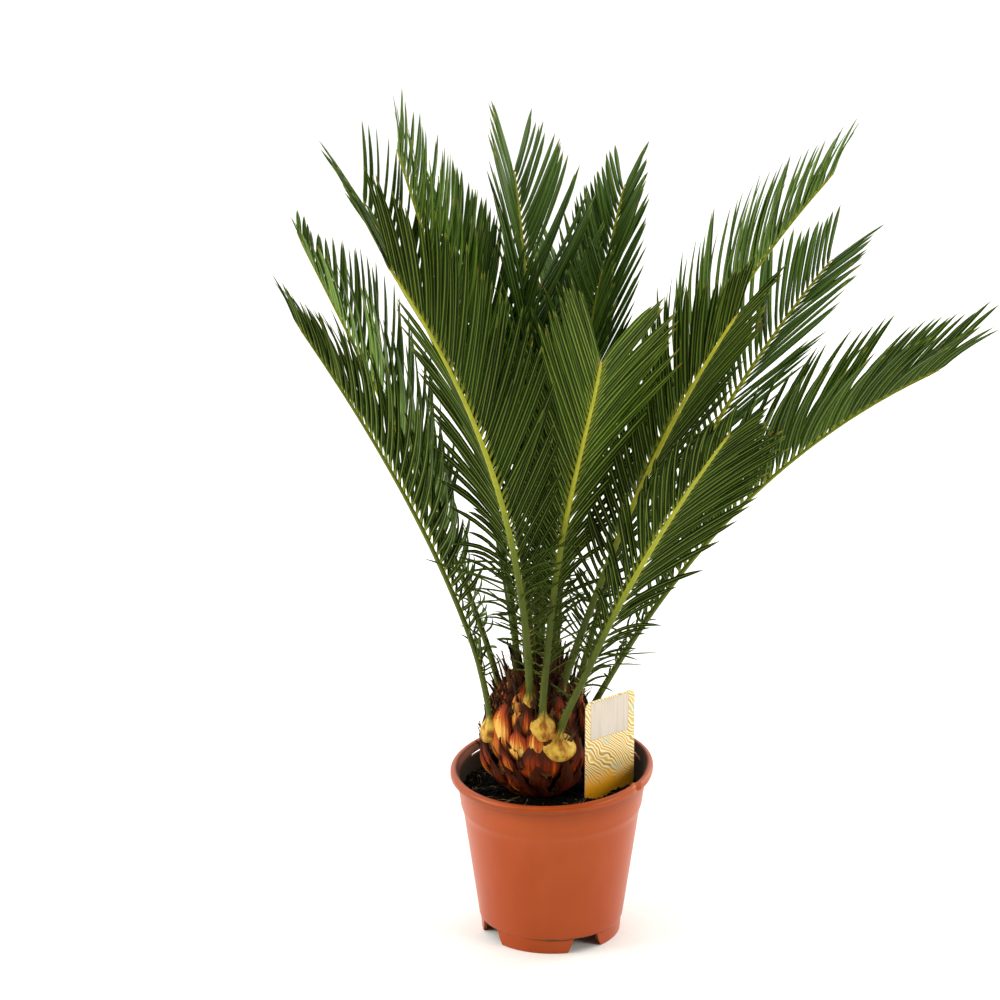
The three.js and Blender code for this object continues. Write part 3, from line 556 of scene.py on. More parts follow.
def pot_body():
    """Surface of revolution with two faces. Each row's point is turned to every column's bearing.
    Blocks of cells are left out for the drain holes and the slots, whose edges are moved on to
    round outlines, and every open edge is joined from the outer face to the inner one."""
    outer, inner, slot_high = pot_profile()
    rows = len(outer)
    turn = np.arange(POT_COLUMNS) * 360 / POT_COLUMNS
    keep = np.ones((rows - 1, POT_COLUMNS), bool)
    azimuth = np.broadcast_to(turn, (2, rows, POT_COLUMNS)).copy()
    radius, height = (np.stack([outer[:, k], inner[:, k]])[..., None] * np.ones(POT_COLUMNS)
                      for k in range(2))

    def opening(centre, reach, first, last, half_x, half_y):
        """Leaves out the cells between two rows, as far as some columns beside a bearing. Gives
        the index of the points on and in their edge, and x and y for them in a rectangle."""
        middle = round(centre / 360 * POT_COLUMNS)
        columns = np.arange(middle - reach, middle + reach + 1) % POT_COLUMNS
        keep[first:last, columns[:-1]] = False
        x, y = np.meshgrid(np.linspace(-1, 1, 2 * reach + 1) * half_x,
                           np.linspace(-1, 1, last - first + 1) * half_y)
        return np.ix_(range(2), range(first, last + 1), columns), x, y

    hole = DRAIN["radius"]
    first, last = np.searchsorted(outer[:10, 0], [DRAIN["circle"] - hole, DRAIN["circle"] + hole])
    for centre in NOTCH["azimuth"] + np.arange(DRAIN["count"]) * 360 / DRAIN["count"]:
        block, x, y = opening(centre, 4, first, last, hole, hole)
        edge = np.maximum(np.abs(x), np.abs(y)) > hole - 1e-6
        size = np.where(edge, hole / np.maximum(np.hypot(x, y), 1e-6), 1)
        out, along = outward(centre)[:2], outward(centre + 90)[:2]
        level = (out * DRAIN["circle"] + (x * size)[..., None] * along
                 + (y * size)[..., None] * out)
        radius[block] = np.hypot(level[..., 0], level[..., 1])
        azimuth[block] = np.degrees(np.arctan2(level[..., 0], -level[..., 1]))
    half_slot = RIM_SLOT["width"] / 2, RIM_SLOT["height"] / 2
    slot_level = POT["height"] - RIM_SLOT["below"] - half_slot[1]
    for centre in RIM_SLOT["azimuths"]:
        block, x, y = opening(centre, 5, slot_high - 2, slot_high, *half_slot)
        x, y = stadium(x, y, *half_slot)
        azimuth[block] = centre + np.degrees(x / wall_radius(slot_level))
        height[block] = slot_level + y
    # A knock in the lip: a nick, with the lip pressed out to the right of it.
    away = (azimuth - 55.5 + 180) % 360 - 180
    lip_foot = POT["height"] - POT["lip_depth"]
    pressed = 0.8 * ease(0.2, 1.6, away) * (1 - ease(6, 24, away))
    radius += ease(lip_foot - 1, lip_foot + 1, height) * (pressed - 2.6 * bell(away, 1.1))
    # Thin plastic is never quite round, and its lip sits a little lower at the front left.
    radius += 0.3 * np.sin(np.radians(2 * azimuth + 40)) * ease(20, 130, height)
    points = outward(azimuth) * radius[..., None] + UP * height[..., None]
    lifted = points[..., :2] @ POT["warp"]
    points = points + UP * (lifted * np.clip(height / POT["height"], 0, 1) ** 1.5)[..., None]
    # The inner wall's dark mark is partly a film of earth and partly painted shade; it weakens over
    # the top 8 mm.
    inside = np.zeros(azimuth.shape)
    inside[1] = 1 - 0.6 * ease(122, 130, height[1] - lifted[1])
    return points, two_faced(keep), {"inside": inside}


def two_faced(keep):
    """Faces of an outer and an inner grid, the inner points after the outer ones: the cells kept on
    the outer face, the same on the inner face turned round, a wall wherever a kept cell has none
    beside it, and a face across the first row of each."""
    rows, columns = keep.shape[0] + 1, keep.shape[1]
    outer = quads(rows, columns)[keep.ravel()]
    inner = outer[:, ::-1] + rows * columns
    number = np.arange(rows * columns).reshape(rows, columns)
    after, lower, upper = np.roll(number, -1, 1), number[:-1], number[1:]
    below = np.concatenate([keep[:1], keep])
    above = np.concatenate([keep, np.zeros((1, columns), bool)])
    left = np.roll(keep, 1, 1)
    edge = np.concatenate([np.stack([start[here], end[here]], -1) for here, start, end in (
        (below & ~above, number, after), (above & ~below, after, number),
        (left & ~keep, upper, lower), (keep & ~left, lower, upper))])
    wall = np.concatenate([edge, edge[:, ::-1] + rows * columns], -1)
    hub = np.stack([np.arange(columns)[::-1], np.arange(columns) + rows * columns])
    return [np.concatenate([outer, inner, wall]), hub]


def pot_feet():
    """Four arcs of the foot ring between the notches. A rounded upright section is carried round
    the bearing, and the two ends lean in step with the notch's flanks and round off below."""
    thick, soft, lap = POT["foot_wall"], 0.5, 0.3
    top = POT["foot_height"] + lap
    ring = np.concatenate([arc((-soft, soft), soft, -90, 0, 4),
                           [[0, 5], [0, top], [-thick, top], [-thick, 5]],
                           arc((soft - thick, soft), soft, 180, 270, 4)])
    height = ring[:, 1]
    rim = POT["foot_radius"] + POT["taper"] / 2 * height + ring[:, 0]
    half = mix(NOTCH["width_below"], NOTCH["width_above"], height / POT["foot_height"]) / 2
    corner = NOTCH["corner"] * (1 - np.sqrt(1 - np.clip(1 - height / NOTCH["corner"], 0, 1) ** 2))
    margin = np.degrees((half + corner) / POT["foot_radius"])
    pitch = 360 / NOTCH["count"]
    start = NOTCH["azimuth"] + np.arange(NOTCH["count"])[:, None, None] * pitch
    azimuth = start + mix(margin, pitch - margin, np.linspace(0, 1, 28)[:, None])
    return shells(outward(azimuth) * rim[:, None] + UP * height[:, None], inside=0)


# ---- Soil ---------------------------------------------------------------------------------------

def soil_level(x, y):
    """Height of the peat: a slow fall from the stem to the wall, with humps of 24 and 9 mm."""
    radius = np.hypot(x, y)
    level = np.interp(radius, [SOIL["seat_radius"], SOIL["crest_radius"], 68],
                      [SOIL["seat_level"], SOIL["crest_level"], SOIL["wall_level"]])
    spot = np.stack([x, y, np.zeros_like(x)], -1)
    return level + 1.5 * waves(spot, 24, 5) + 0.7 * waves(spot, 9, 6)


def soil_body():
    """Polar grid for the top, with crumbs of 3.2 and 1.9 mm in relief, closed by the pot's own
    taper down the side and a level bottom."""
    bottom = POT["foot_height"] + POT["floor"] + CLEAR
    limit, foot = (wall_radius(level) - POT["wall"] - CLEAR
                   for level in (SOIL["wall_level"], bottom))
    radius = np.concatenate([[2], np.linspace(24, limit, 66)])[:, None, None]
    around = outward(np.arange(300) * 1.2)
    spot = around * radius
    top = (soil_level(spot[..., 0], spot[..., 1]) + 0.45 * waves(spot, 3.2, 7)
           + 0.3 * waves(spot, 1.9, 8))
    upper = spot + UP * np.minimum(top, SOIL["highest"])[..., None]
    lower = around * foot + UP * bottom
    return shells(np.concatenate([lower[None], upper[::-1]])[None])


def lumps(centre, size, seed):
    """Crumbs: balls of 5 by 7 points stretched at random along three axes, with a random dent to
    each point. Centre is (n, 3) and size (n,)."""
    rng = np.random.default_rng(seed)
    count = len(centre)
    polar = np.radians(np.linspace(14, 166, 5))[:, None]
    level = np.radians(np.arange(7) * 360 / 7)
    ball = np.stack([np.sin(polar) * np.cos(level), np.sin(polar) * np.sin(level),
                     np.cos(polar) * np.ones(7)], -1)
    axes = np.linalg.qr(rng.normal(size=(count, 3, 3)))[0] * rng.uniform(0.5, 1.2, (count, 3, 1))
    dents = rng.uniform(0.75, 1.15, (count, 5, 7, 1))
    return shells(centre[:, None, None]
                  + (ball * dents) @ axes[:, None] * size[:, None, None, None])


def strands(start, heading, length, sag, thick, seed):
    """Threads: a ring of three points carried along start + heading * t + curl * sine of half a
    turn, sinking by sag * t squared, and thinning towards the end."""
    rng = np.random.default_rng(seed)
    count = len(start)
    t = np.linspace(0, 1, 8)[:, None]
    length, sag = length[:, None, None], sag[:, None, None]
    curl = unit(np.cross(heading, rng.normal(size=(count, 3))))[:, None]
    bend = rng.uniform(-0.22, 0.22, (count, 1, 1)) * length
    path = start[:, None] + heading[:, None] * t * length
    path = path + curl * bend * np.sin(np.pi * t) - UP * sag * t * t
    along = unit(np.gradient(path, axis=1))
    side = unit(np.cross(along, UP + 0.01))[:, :, None]
    up = np.cross(side, along[:, :, None])
    angle = np.radians([0, 120, 240])[:, None]
    girth = thick[:, None, None, None] * (1 - 0.75 * t[..., None])
    return shells(path[:, :, None] + girth * (side * np.cos(angle) + up * np.sin(angle)))


def soil_litter():
    """The crumbs and the fibres that lie on the peat, clear of the pot's wall. Each has a random
    bearing, and its radius is the root of an even draw, so that no part gets more than others."""
    rng = np.random.default_rng(31)

    def spots(count, low, high):
        azimuth = rng.uniform(0, 360, count)
        radius = np.sqrt(rng.uniform(low ** 2, high ** 2, count))
        flat = outward(azimuth) * radius[:, None]
        return flat + UP * soil_level(flat[:, 0], flat[:, 1])[:, None]

    count = 420
    crumbs = lumps(spots(count, 34, 65.5), rng.uniform(0.7, 2.4, count), 32)
    count, reach = 210, 62
    start = spots(count, 34, reach)
    heading = unit(rng.normal(size=(count, 3)) * [1, 1, 0.22])
    # A fibre that would come to the wall is turned round.
    outside = np.linalg.norm((start + heading * 20)[:, :2], axis=-1) > reach
    heading[outside] *= [-1, -1, 1]
    return crumbs, strands(start + UP * 0.6, heading, rng.uniform(6, 22, count),
                           rng.uniform(0, 3, count), rng.uniform(0.16, 0.34, count), 33)


# ---- Stem ---------------------------------------------------------------------------------------

def smooth_curve(points, count):
    """Catmull-Rom curve through points, read at equal steps of its length: on each stretch the
    cubic with the end points and half the chord between their neighbours as slopes."""
    held = np.array([points[0], *points, points[-1]], float)
    t = np.linspace(0, 1, 40, endpoint=False)[None, :, None]
    p0, p1, p2, p3 = (held[k:len(held) - 3 + k, None] for k in range(4))
    slope_a, slope_b = (p2 - p0) / 2, (p3 - p1) / 2
    curve = ((2 * p1 - 2 * p2 + slope_a + slope_b) * t ** 3
             + (3 * p2 - 3 * p1 - 2 * slope_a - slope_b) * t ** 2 + slope_a * t + p1)
    curve = np.concatenate([curve.reshape(-1, curve.shape[-1]), held[-1:]])
    length = np.concatenate([[0], np.cumsum(np.linalg.norm(np.diff(curve, axis=0), axis=1))])
    even = np.linspace(0, length[-1], count)
    return np.stack([np.interp(even, length, column) for column in curve.T], -1), length[-1]


STEM_CURVE, STEM_LENGTH = smooth_curve(STEM["profile"], 400)


def on_stem(azimuth, level, proud):
    """Point at a bearing and share of the stem's profile, that far out along the surface's
    normal."""
    grid = np.linspace(0, 1, len(STEM_CURVE))
    slope = np.gradient(STEM_CURVE, axis=0)
    radius, rise, run, climb = (np.interp(level, grid, values) for values in
                                (*STEM_CURVE.T, *slope.T))
    size = np.hypot(run, climb)
    out = radius + proud * climb / size
    high = STEM["foot"] + rise - proud * run / size
    return STEM_AXIS + outward(azimuth) * out[..., None] + UP * high[..., None]


def stem_radius(level):
    """Radius of the stem at a share of its profile."""
    return np.interp(level, np.linspace(0, 1, len(STEM_CURVE)), STEM_CURVE[:, 0])


def draws(rng, count):
    """A function that draws an even random number for each of some pieces, on the first of three
    axes. The second axis is for v, along a piece, and the third for u, round it."""
    return lambda low, high: rng.uniform(low, high, (count, 1, 1))


def stem_core():
    """The stem under its scales: its profile turned about its axis, 2.5 mm thinner, with felt-like
    waves of 5 mm."""
    level = np.linspace(0, 1, 60)[:, None] * np.ones(90)
    azimuth = np.arange(90) * 4.0
    proud = -2.5 + 0.6 * waves(on_stem(azimuth, level, 0), 5, 11)
    return shells(on_stem(azimuth, level, proud * ease(0, 0.05, level))[None])


def stem_scales(feet, swells):
    """Leaf scars in the source's lozenge lattice, each a shingle laid on the stem from a buried
    root up to a free point. Its half width rises to a shoulder and falls as a half cosine to the
    point, and its outer face climbs with the length, bulges across, and keeps a ridge under the
    point. A scar is left out where a stalk stands, and every other one towards the crown."""
    rng = np.random.default_rng(71)
    half_rows = STEM["rows"] * 2 + 1
    row, place = np.divmod(np.arange(half_rows * STEM["round"]), STEM["round"])
    azimuth = (place + np.where(row % 2, 0, 0.5)) * 360 / STEM["round"]
    azimuth = azimuth + rng.uniform(-6.5, 6.5, len(row))
    centre = row / half_rows + 0.02 + rng.uniform(-0.03, 0.03, len(row))
    gap = np.linalg.norm(on_stem(azimuth, centre, 0)[:, None] - feet, axis=-1) - swells * 1.25
    chosen = (gap.min(1) > 4) & (centre < 0.93) & ((centre < 0.74) | (place % 2 == 0))
    azimuth, centre = (value[chosen][:, None, None] for value in (azimuth, centre))
    draw = draws(rng, len(centre))
    v = np.linspace(0, 1, 20)[:, None]
    dome = np.linspace(-1, 1, 11)
    u = np.concatenate([dome, [0.6, 0, -0.6]])
    roof = np.concatenate([1 - dome ** 2, [0.5, 0.9, 0.5]])
    under = np.concatenate([np.zeros(11), [1, 1, 1]])
    size = draw(0.8, 1.25)
    radius = stem_radius(centre)
    width = np.maximum(np.pi * radius / STEM["round"] * 1.1, 6.5) * size
    shoulder = 0.34
    t = np.clip((v - shoulder) / (1 - shoulder), 0, 1)
    outline = np.where(v < shoulder, 0.7 + 0.3 * np.sin(np.pi / 2 * np.clip(v / shoulder, 0, 1)),
                       ((1 + np.cos(np.pi * t)) / 2) ** draw(0.6, 1.4))
    torn = 1 + ease(0.4, 0.8, v) * (0.24 * np.sin(31 * v + 4 * u + draw(0, 6))
                                    + 0.18 * np.sin(17 * v - 3 * u + draw(0, 6)))
    outline = 0.035 + 0.965 * outline * torn
    length = 47 * size * draw(0.85, 1.2)
    along = (v - 0.42) * length
    bend = draw(-6, 6) * ease(0.5, 1, v)
    aside = u * width * outline + bend + draw(-0.06, 0.06) * along
    free = ease(0.62, 1, v)
    face = mix(-3.6, 1.8, ease(0, 0.6, v)) + draw(-1.2, 1.2) + draw(0.4, 3.4) * free
    bulge = 2.6 * roof * ease(-0.1, 0.3, v) * (1 - ease(0.5, 0.95, v))
    ridge = 0.9 * (1 - np.abs(u)) * ease(0.4, 0.75, v)
    curl = draw(-1.4, 1.4) * u * free
    ripple = 0.22 * np.sin(u * 9 + draw(0, 6)) * ease(0.3, 0.8, v)
    proud = face + bulge + ridge + curl + ripple - under * mix(3, 0.55, ease(0.35, 0.8, v))
    level = centre + along / STEM_LENGTH
    proud = proud * mix(0.25, 1, ease(0, 0.2, level))
    bearing = azimuth + np.degrees(aside / np.maximum(radius, 9))
    # Points beyond the end of the profile go straight up.
    end = 0.985
    over = np.clip(level - end, 0, None) * STEM_LENGTH
    points = on_stem(bearing, np.clip(level, 0, end), proud) + UP * over[..., None]
    # age darkens a scale's stain: a random share of ageing, more towards the crown, partly dust and
    # partly painted shade on the lowest scales by the peat, and painted shade on the right.
    low, right = 1 - ease(0.15, 0.5, centre), ease(-0.2, 0.8, outward(azimuth)[..., 0])
    age = 0.25 * low + 0.4 * right + 0.4 * ease(0.55, 0.8, centre) + draw(-0.6, 0.5)
    return shells(points, across=u, along=v, age=age, deal=draw(0, 1))


def stem_flakes():
    """Torn bits of old husk over the scales: short ragged blades laid on the stem, each turned a
    little to one side, that rise off it towards their points."""
    rng = np.random.default_rng(89)
    count = 130
    draw = draws(rng, count)
    azimuth, level = draw(0, 360), draw(0.08, 0.78)
    v = np.linspace(0, 1, 9)[:, None]
    u = np.array([-1, -0.5, 0, 0.5, 1, 0.4, -0.4])
    back = np.array([0, 0, 0, 0, 0, 1, 1])
    ragged = 1 + 0.45 * np.sin(23 * v + 3 * u + draw(0, 6))
    width = draw(0.8, 2.6) * ragged * (1 - 0.9 * v ** 1.6)
    climb = draw(5, 15) * v
    spin = np.radians(rng.normal(0, 28, (count, 1, 1)))
    aside = u * width * np.cos(spin) + climb * np.sin(spin)
    along = climb * np.cos(spin) - u * width * np.sin(spin)
    lift = draw(0.5, 4.5) * v ** 2
    proud = draw(1, 3.4) + lift + 0.5 * np.abs(u) - 0.45 * back
    points = on_stem(azimuth + np.degrees(aside / stem_radius(level)),
                     level + along / STEM_LENGTH, proud)
    return shells(points, across=u, along=v, deal=draw(0, 1))


def crown_husks(feet):
    """Papery bracts between the stalks, in the source's spiral of 137.5 degrees but closer. Each is
    a long blade that clasps the stem's axis, narrows to a ragged point, and leans out a little."""
    rng = np.random.default_rng(83)
    count = 100
    number = np.arange(count)
    azimuth = number * 137.5
    spread = np.sqrt((number + 0.5) / count)
    foot = on_stem(azimuth, mix(0.99, 0.6, spread), -2.5)
    clear = np.linalg.norm(foot[:, None] - feet, axis=-1).min(1) > 5.5
    azimuth, spread, foot = (value[clear][:, None, None] for value in (azimuth, spread, foot))
    draw = draws(rng, len(azimuth))
    v = np.linspace(0, 1, 14)[:, None]
    u = np.concatenate([np.linspace(-1, 1, 9), np.linspace(0.75, -0.75, 5)])
    back = np.repeat([0, 1], [9, 5])
    length = draw(24, 40) * mix(1.1, 0.42, spread ** 2)
    width = draw(2.2, 5.2)
    ragged = 1 + 0.25 * np.sin(29 * v + 5 * u + draw(0, 6)) * ease(0.2, 0.7, v)
    outline = (0.8 + 0.2 * np.sin(np.pi * v)) * (1 - v ** 1.3) * ragged + 0.03
    lean = np.radians(mix(1, 16, spread) + draw(-6, 6))
    curl = draw(-0.1, 0.3)
    reach = length * (np.sin(lean) * v + curl * v ** 2.5 * 0.45)
    climb = length * (np.cos(lean) * v - np.abs(curl) * v ** 3 * 0.22)
    fold = 0.3 * np.sin(u * 7 + draw(0, 6))
    hollow = -0.38 * width * u ** 2 * outline + fold - back * 0.5
    twist = draw(-0.2, 0.2) * length * v ** 2
    points = (foot + outward(azimuth) * (reach + hollow)[..., None]
              + outward(azimuth + 90) * (u * width * outline + twist)[..., None]
              + UP * climb[..., None])
    return shells(points, across=u, along=v, deal=draw(0, 1))


def crown_threads():
    """Brown threads that stand and hang about the crown and from the scales' points."""
    rng = np.random.default_rng(97)
    count = 420
    azimuth = rng.uniform(0, 360, count)
    level = rng.uniform(0.45, 0.99, count) ** 0.8
    start = on_stem(azimuth, level, 0.5)
    heading = unit(outward(azimuth) * rng.uniform(-0.15, 0.55, (count, 1)) + UP
                   + rng.normal(size=(count, 3)) * 0.25)
    length = rng.uniform(8, 26, count) * mix(0.6, 1.35, ease(0.5, 0.9, level))
    return strands(start, heading, length, rng.uniform(0, 7, count),
                   rng.uniform(0.16, 0.4, count), 98)


# ---- Fronds -------------------------------------------------------------------------------------

def rolled(frond, s):
    """Unit vectors along the rib, up from its upper face and to its right, at shares s of its
    length. Lean runs from foot to tip with s to the power of ease, azimuth with s, and the blade is
    turned about the rib by the roll."""
    held = np.clip(s, 0, None)
    lean = np.radians(mix(*frond["lean"], held ** frond["ease"]))[..., None]
    level = outward(mix(*frond["azimuth"], held))
    along = level * np.sin(lean) + UP * np.cos(lean)
    up = UP * np.sin(lean) - level * np.cos(lean)
    roll = np.radians(-frond["roll"])
    turned = up * np.cos(roll) + np.cross(along, up) * np.sin(roll)
    return along, turned, np.cross(along, turned)


def rib_points(frond, s):
    """Points of the rib: its direction summed over equal steps from the seat. Below the seat, where
    s is negative, it goes straight on down and in towards the stem's middle."""
    steps, length = RIB["steps"], frond["length"]
    azimuth, radius, height = frond["seat"]
    out = outward(azimuth)
    seat = STEM_AXIS + out * radius + UP * height
    along, _, _ = rolled(frond, (np.arange(steps) + 0.5) / steps)
    sums = np.concatenate([[seat], seat + np.cumsum(along, 0) * length / steps])
    grid = np.linspace(0, 1, steps + 1)
    path = np.stack([np.interp(s, grid, column) for column in sums.T], -1)
    heel = unit(rolled(frond, np.zeros(1))[0][0] + RIB["heel"] * out)
    bowed = 1 - ease(0, RIB["bow_reach"], s * length)
    return (path + np.array(frond["bow"]) * bowed[..., None]
            + heel * (np.minimum(s, 0) * length)[..., None])


def rib_half(frond, s):
    """Half the rib's width: from foot to tip with s to the power 0.8, and the swollen leaf base.
    The swelling is round below its middle, which lies below the seat, and dies away above it as e
    to the minus third power of 1.4 times the distance, in swelling lengths."""
    stalk = mix(RIB["foot_half"], RIB["tip_half"], np.clip(s, 0, None) ** 0.8)
    away = (s * frond["length"] + RIB["swell_drop"] * frond["swell"]) / RIB["swell_length"]
    below = np.sqrt(1 - np.clip(-away / 1.15, 0, 1) ** 2)
    swollen = np.where(away < 0, below, np.exp(-np.clip(away * 1.4, 0, None) ** 3))
    return stalk * mix(0.35, 1, below) + frond["swell"] * RIB["swell_share"] * swollen


def rib_body(frond):
    """An oval section, flatter on its upper face, carried along the rib, round and with five faint
    lobes on its swollen base."""
    low = -RIB["sunk"] - RIB["swell_drop"] * frond["swell"]
    past = np.concatenate([np.linspace(low, 24, 24), np.linspace(29, frond["length"], 44)])
    s = past / frond["length"]
    past = past[:, None]
    _, up, side = rolled(frond, s)
    angle = np.radians(np.arange(14) * 360 / 14)
    wide, high = np.cos(angle), np.sin(angle)
    oval = high * np.where(high > 0, RIB["ridge"], RIB["keel"])
    high = mix(high, oval, ease(2, 12, past))
    lobes = 1 + 0.02 * np.cos(5 * angle) * bell(past, 9)
    half = (rib_half(frond, s) * (1 - 0.7 * ease(0.985, 1, s)))[:, None] * lobes
    ring = side[:, None] * wide[:, None] + up[:, None] * high[..., None]
    points = rib_points(frond, s)[:, None] + half[..., None] * ring
    return shells(points[None], past=past, along=s[:, None], across=wide, gold=frond["gold"])


def blades(frond, s, side, angle, rise, length, half_width, bends, tilt, tone):
    """Leaflets as closed blades. Each starts at an angle to the rib, raised above the frond's
    plane, and its course is start * u + bend * u squared / 2, the bend being forwards along the
    rib, away from its upper side, and down. Its section is a shallow roof with its edges rolled
    under and a midrib between two hollows below. Its width swells from the root and closes late."""
    along, up, right = rolled(frond, s)
    angle, rise, side = np.radians(angle)[:, None], np.radians(rise)[:, None], side[:, None]
    start = (along * np.cos(angle) + right * side * np.sin(angle) * np.cos(rise)
             + up * np.sin(angle) * np.sin(rise))
    forward, away, droop = (value[:, None] for value in bends)
    bend = (along * forward - up * away) * np.sin(angle) - UP * droop
    u = np.array([0, 0.06, 0.14, 0.27, 0.43, 0.59, 0.74, 0.87, 0.95, 1])[:, None]
    half = rib_half(frond, s)[:, None]
    root = rib_points(frond, s) + right * side * half * 0.5 + up * half * 0.3
    path = root[:, None] + length[:, None, None] * (start[:, None] * u + bend[:, None] * u * u / 2)
    heading = unit(start[:, None] + bend[:, None] * u)
    edge = unit(along[:, None] - heading * (along[:, None] * heading).sum(-1, keepdims=True))
    face = np.cross(heading, edge)
    # The upper face is the one that looks the rib's way at the middle of the leaflet.
    face = face * np.sign((face[:, 5] * up).sum(-1))[:, None, None]
    turn = np.radians(tilt)[:, None, None] * ease(0, 0.2, u)
    across = edge * np.cos(turn) + face * np.sin(turn)
    above = face * np.cos(turn) - edge * np.sin(turn)
    closing = (np.clip(u - 0.55, 0, None) / 0.45) ** 2.8
    profile = mix(0.4, 1, ease(0, 0.14, u)) * (1 - closing * 0.95)
    section_across = np.array([-1, -0.62, 0, 0.62, 1, 0.4, 0, -0.4])
    section_high = np.array([-0.62, 0.02, 0.1, 0.02, -0.62, -0.24, -0.56, -0.24])
    side_under = np.array([0.5, 0, 0, 0, 0.5, 1, 1, 1])
    breadth = (half_width[:, None, None] * profile)[..., None] * section_across[:, None]
    body = (0.35 + 0.65 * profile)[..., None] * section_high[:, None]
    points = path[:, :, None] + across[:, :, None] * breadth + above[:, :, None] * body
    return shells(points, across=section_across, along=u, under=side_under,
                  tone=tone[:, None, None])


def leaflets(frond, seed):
    """Two rows of leaflets by the source's rule, at their real number and width. The angle to the
    rib closes towards the tip, the rise lessens, and the length grows from the lowest ones and
    falls again near the tip. The angle drifts over every few leaflets, which opens slits between
    some, and the lowest leaflets arch over more."""
    rng = np.random.default_rng(seed)
    count = int(frond["length"] * (1 - LEAFLET["first"]) / LEAFLET["pitch"]) + 4
    number = 2 * count
    side = np.repeat([-1.0, 1.0], count)
    step = np.tile(np.arange(count), 2)
    # A leaflet's share of the way is 0 where the full rows start; a few stand below that.
    lowest = -0.09
    share = mix(lowest, 1, (step + 0.5 + 0.25 * side) / count)
    share = share + rng.uniform(-0.1, 0.1, number) / count
    held, low = np.clip(share, 0, 1), 1 - ease(-0.05, 0.36, share)
    spread, raised, fold, hang, turn = (np.repeat(frond[word], count) for word in
                                        ("spread", "rise", "fold", "hang", "turn"))
    drift = waves(np.stack([step, side * 50, np.zeros(number)], -1), 4, seed)
    angle = mix(LEAFLET["root_angle"] + spread, frond["sweep"], held ** 0.8)
    rise = (mix(LEAFLET["rise_root"], LEAFLET["rise_tip"], held) + raised
            + fold * ease(0.45, 0.8, share))
    length = (frond["leaflet"] * mix(frond["short"], 1, ease(0, LEAFLET["full_from"], share))
              * mix(1, frond["taper"], ease(LEAFLET["taper_from"], 1, share)))
    length = length * mix(0.7, 1, ease(lowest, 0.03, share)) * rng.normal(1, 0.025, number)
    slim = mix(0.34, 1, ease(lowest, 0.3, share)) * mix(1, 0.82, ease(0.8, 1, share))
    forward = (LEAFLET["forward"] + 0.1 * low) * rng.normal(1, 0.12, number)
    away = LEAFLET["outward"] + 0.75 * low * rng.uniform(0.3, 1.5, number)
    away = away * rng.normal(1, 0.2, number)
    droop = (LEAFLET["droop"] * (1 - LEAFLET["droop_loss"] * held)
             + 0.35 * low * rng.uniform(0.2, 1.8, number) + hang * mix(1, 0.4, held))
    # The last argument is each leaflet's tint, darkened towards the lowest leaflets as painted
    # shade.
    return blades(frond, mix(LEAFLET["first"], 1, share), side,
                  angle + 2.3 * drift + rng.normal(0, 1.3, number) * (1 + 4 * low),
                  rise + rng.normal(0, 2.5, number) * (1 + 2.5 * low),
                  length * rng.normal(1, 0.1, number) ** low,
                  LEAFLET["half_width"] * slim * rng.normal(1, 0.05, number),
                  (forward, away, droop), turn + rng.normal(0, 6, number),
                  rng.uniform(0, 1, number) * mix(0.12, 1, ease(0.12, 0.6, share)))


def wisps(frond, seed):
    """The lowest leaflets, thin and thread-like: long slim blades that arch over and hang, more and
    longer on the stalks that lean to the front than on the others."""
    rng = np.random.default_rng(seed)
    facing = np.cos(np.radians(frond["seat"][0] + 20))
    front = ease(0.6, 0.95, facing)
    number = 2 * int(rng.integers(7, 11) + 5 * front)
    side = np.where(np.arange(number) % 2, 1.0, -1.0)
    s = rng.uniform(0.1, 0.24 + 0.08 * front, number)
    bends = (rng.uniform(0.1, 0.8, number), rng.uniform(0.1, 1, number),
             rng.uniform(0.1, 0.9, number))
    return blades(frond, s, side, rng.uniform(45, 80, number), rng.uniform(0, 62, number),
                  rng.uniform(30, 66, number) * mix(0.4, 1, ease(0.2, 0.9, facing))
                  * mix(0.55, 1.1, ease(0.1, 0.26, s)),
                  rng.uniform(0.5, 1.05, number), bends,
                  rng.uniform(-40, 40, number), rng.uniform(0, 1, number))


def stalk_spines(frond, seed):
    """Short spines in two rows on the bare stalk, growing longer upwards: four-sided cones that
    point outwards and a little up."""
    rng = np.random.default_rng(seed)
    first, last = 14, frond["length"] * 0.17
    place = np.arange(first, last, 5.2)
    side = np.repeat([-1.0, 1.0], len(place))[:, None]
    place = np.tile(place, 2) + rng.uniform(-1.2, 1.2, len(side))
    s = place / frond["length"]
    along, up, right = rolled(frond, s)
    out = unit(right * side + up * 0.45 + along * rng.uniform(0, 0.5, (len(s), 1)))
    half = rib_half(frond, s)[:, None]
    root = rib_points(frond, s) + right * side * half * 0.75 + up * half * 0.25
    reach = mix(0.9, 3.4, ease(first, last, place)) * rng.uniform(0.7, 1.3, len(s))
    t = np.linspace(0, 1, 4)[:, None, None]
    angle = np.radians([0, 90, 180, 270])[:, None]
    root, out, along = (value[:, None, None] for value in (root, out, along))
    ring = along * np.cos(angle) + np.cross(along, out) * np.sin(angle)
    return shells(root + out * t * (reach + 0.6)[:, None, None, None]
                  + ring * 0.55 * (1 - 0.85 * t))


# ---- Label --------------------------------------------------------------------------------------

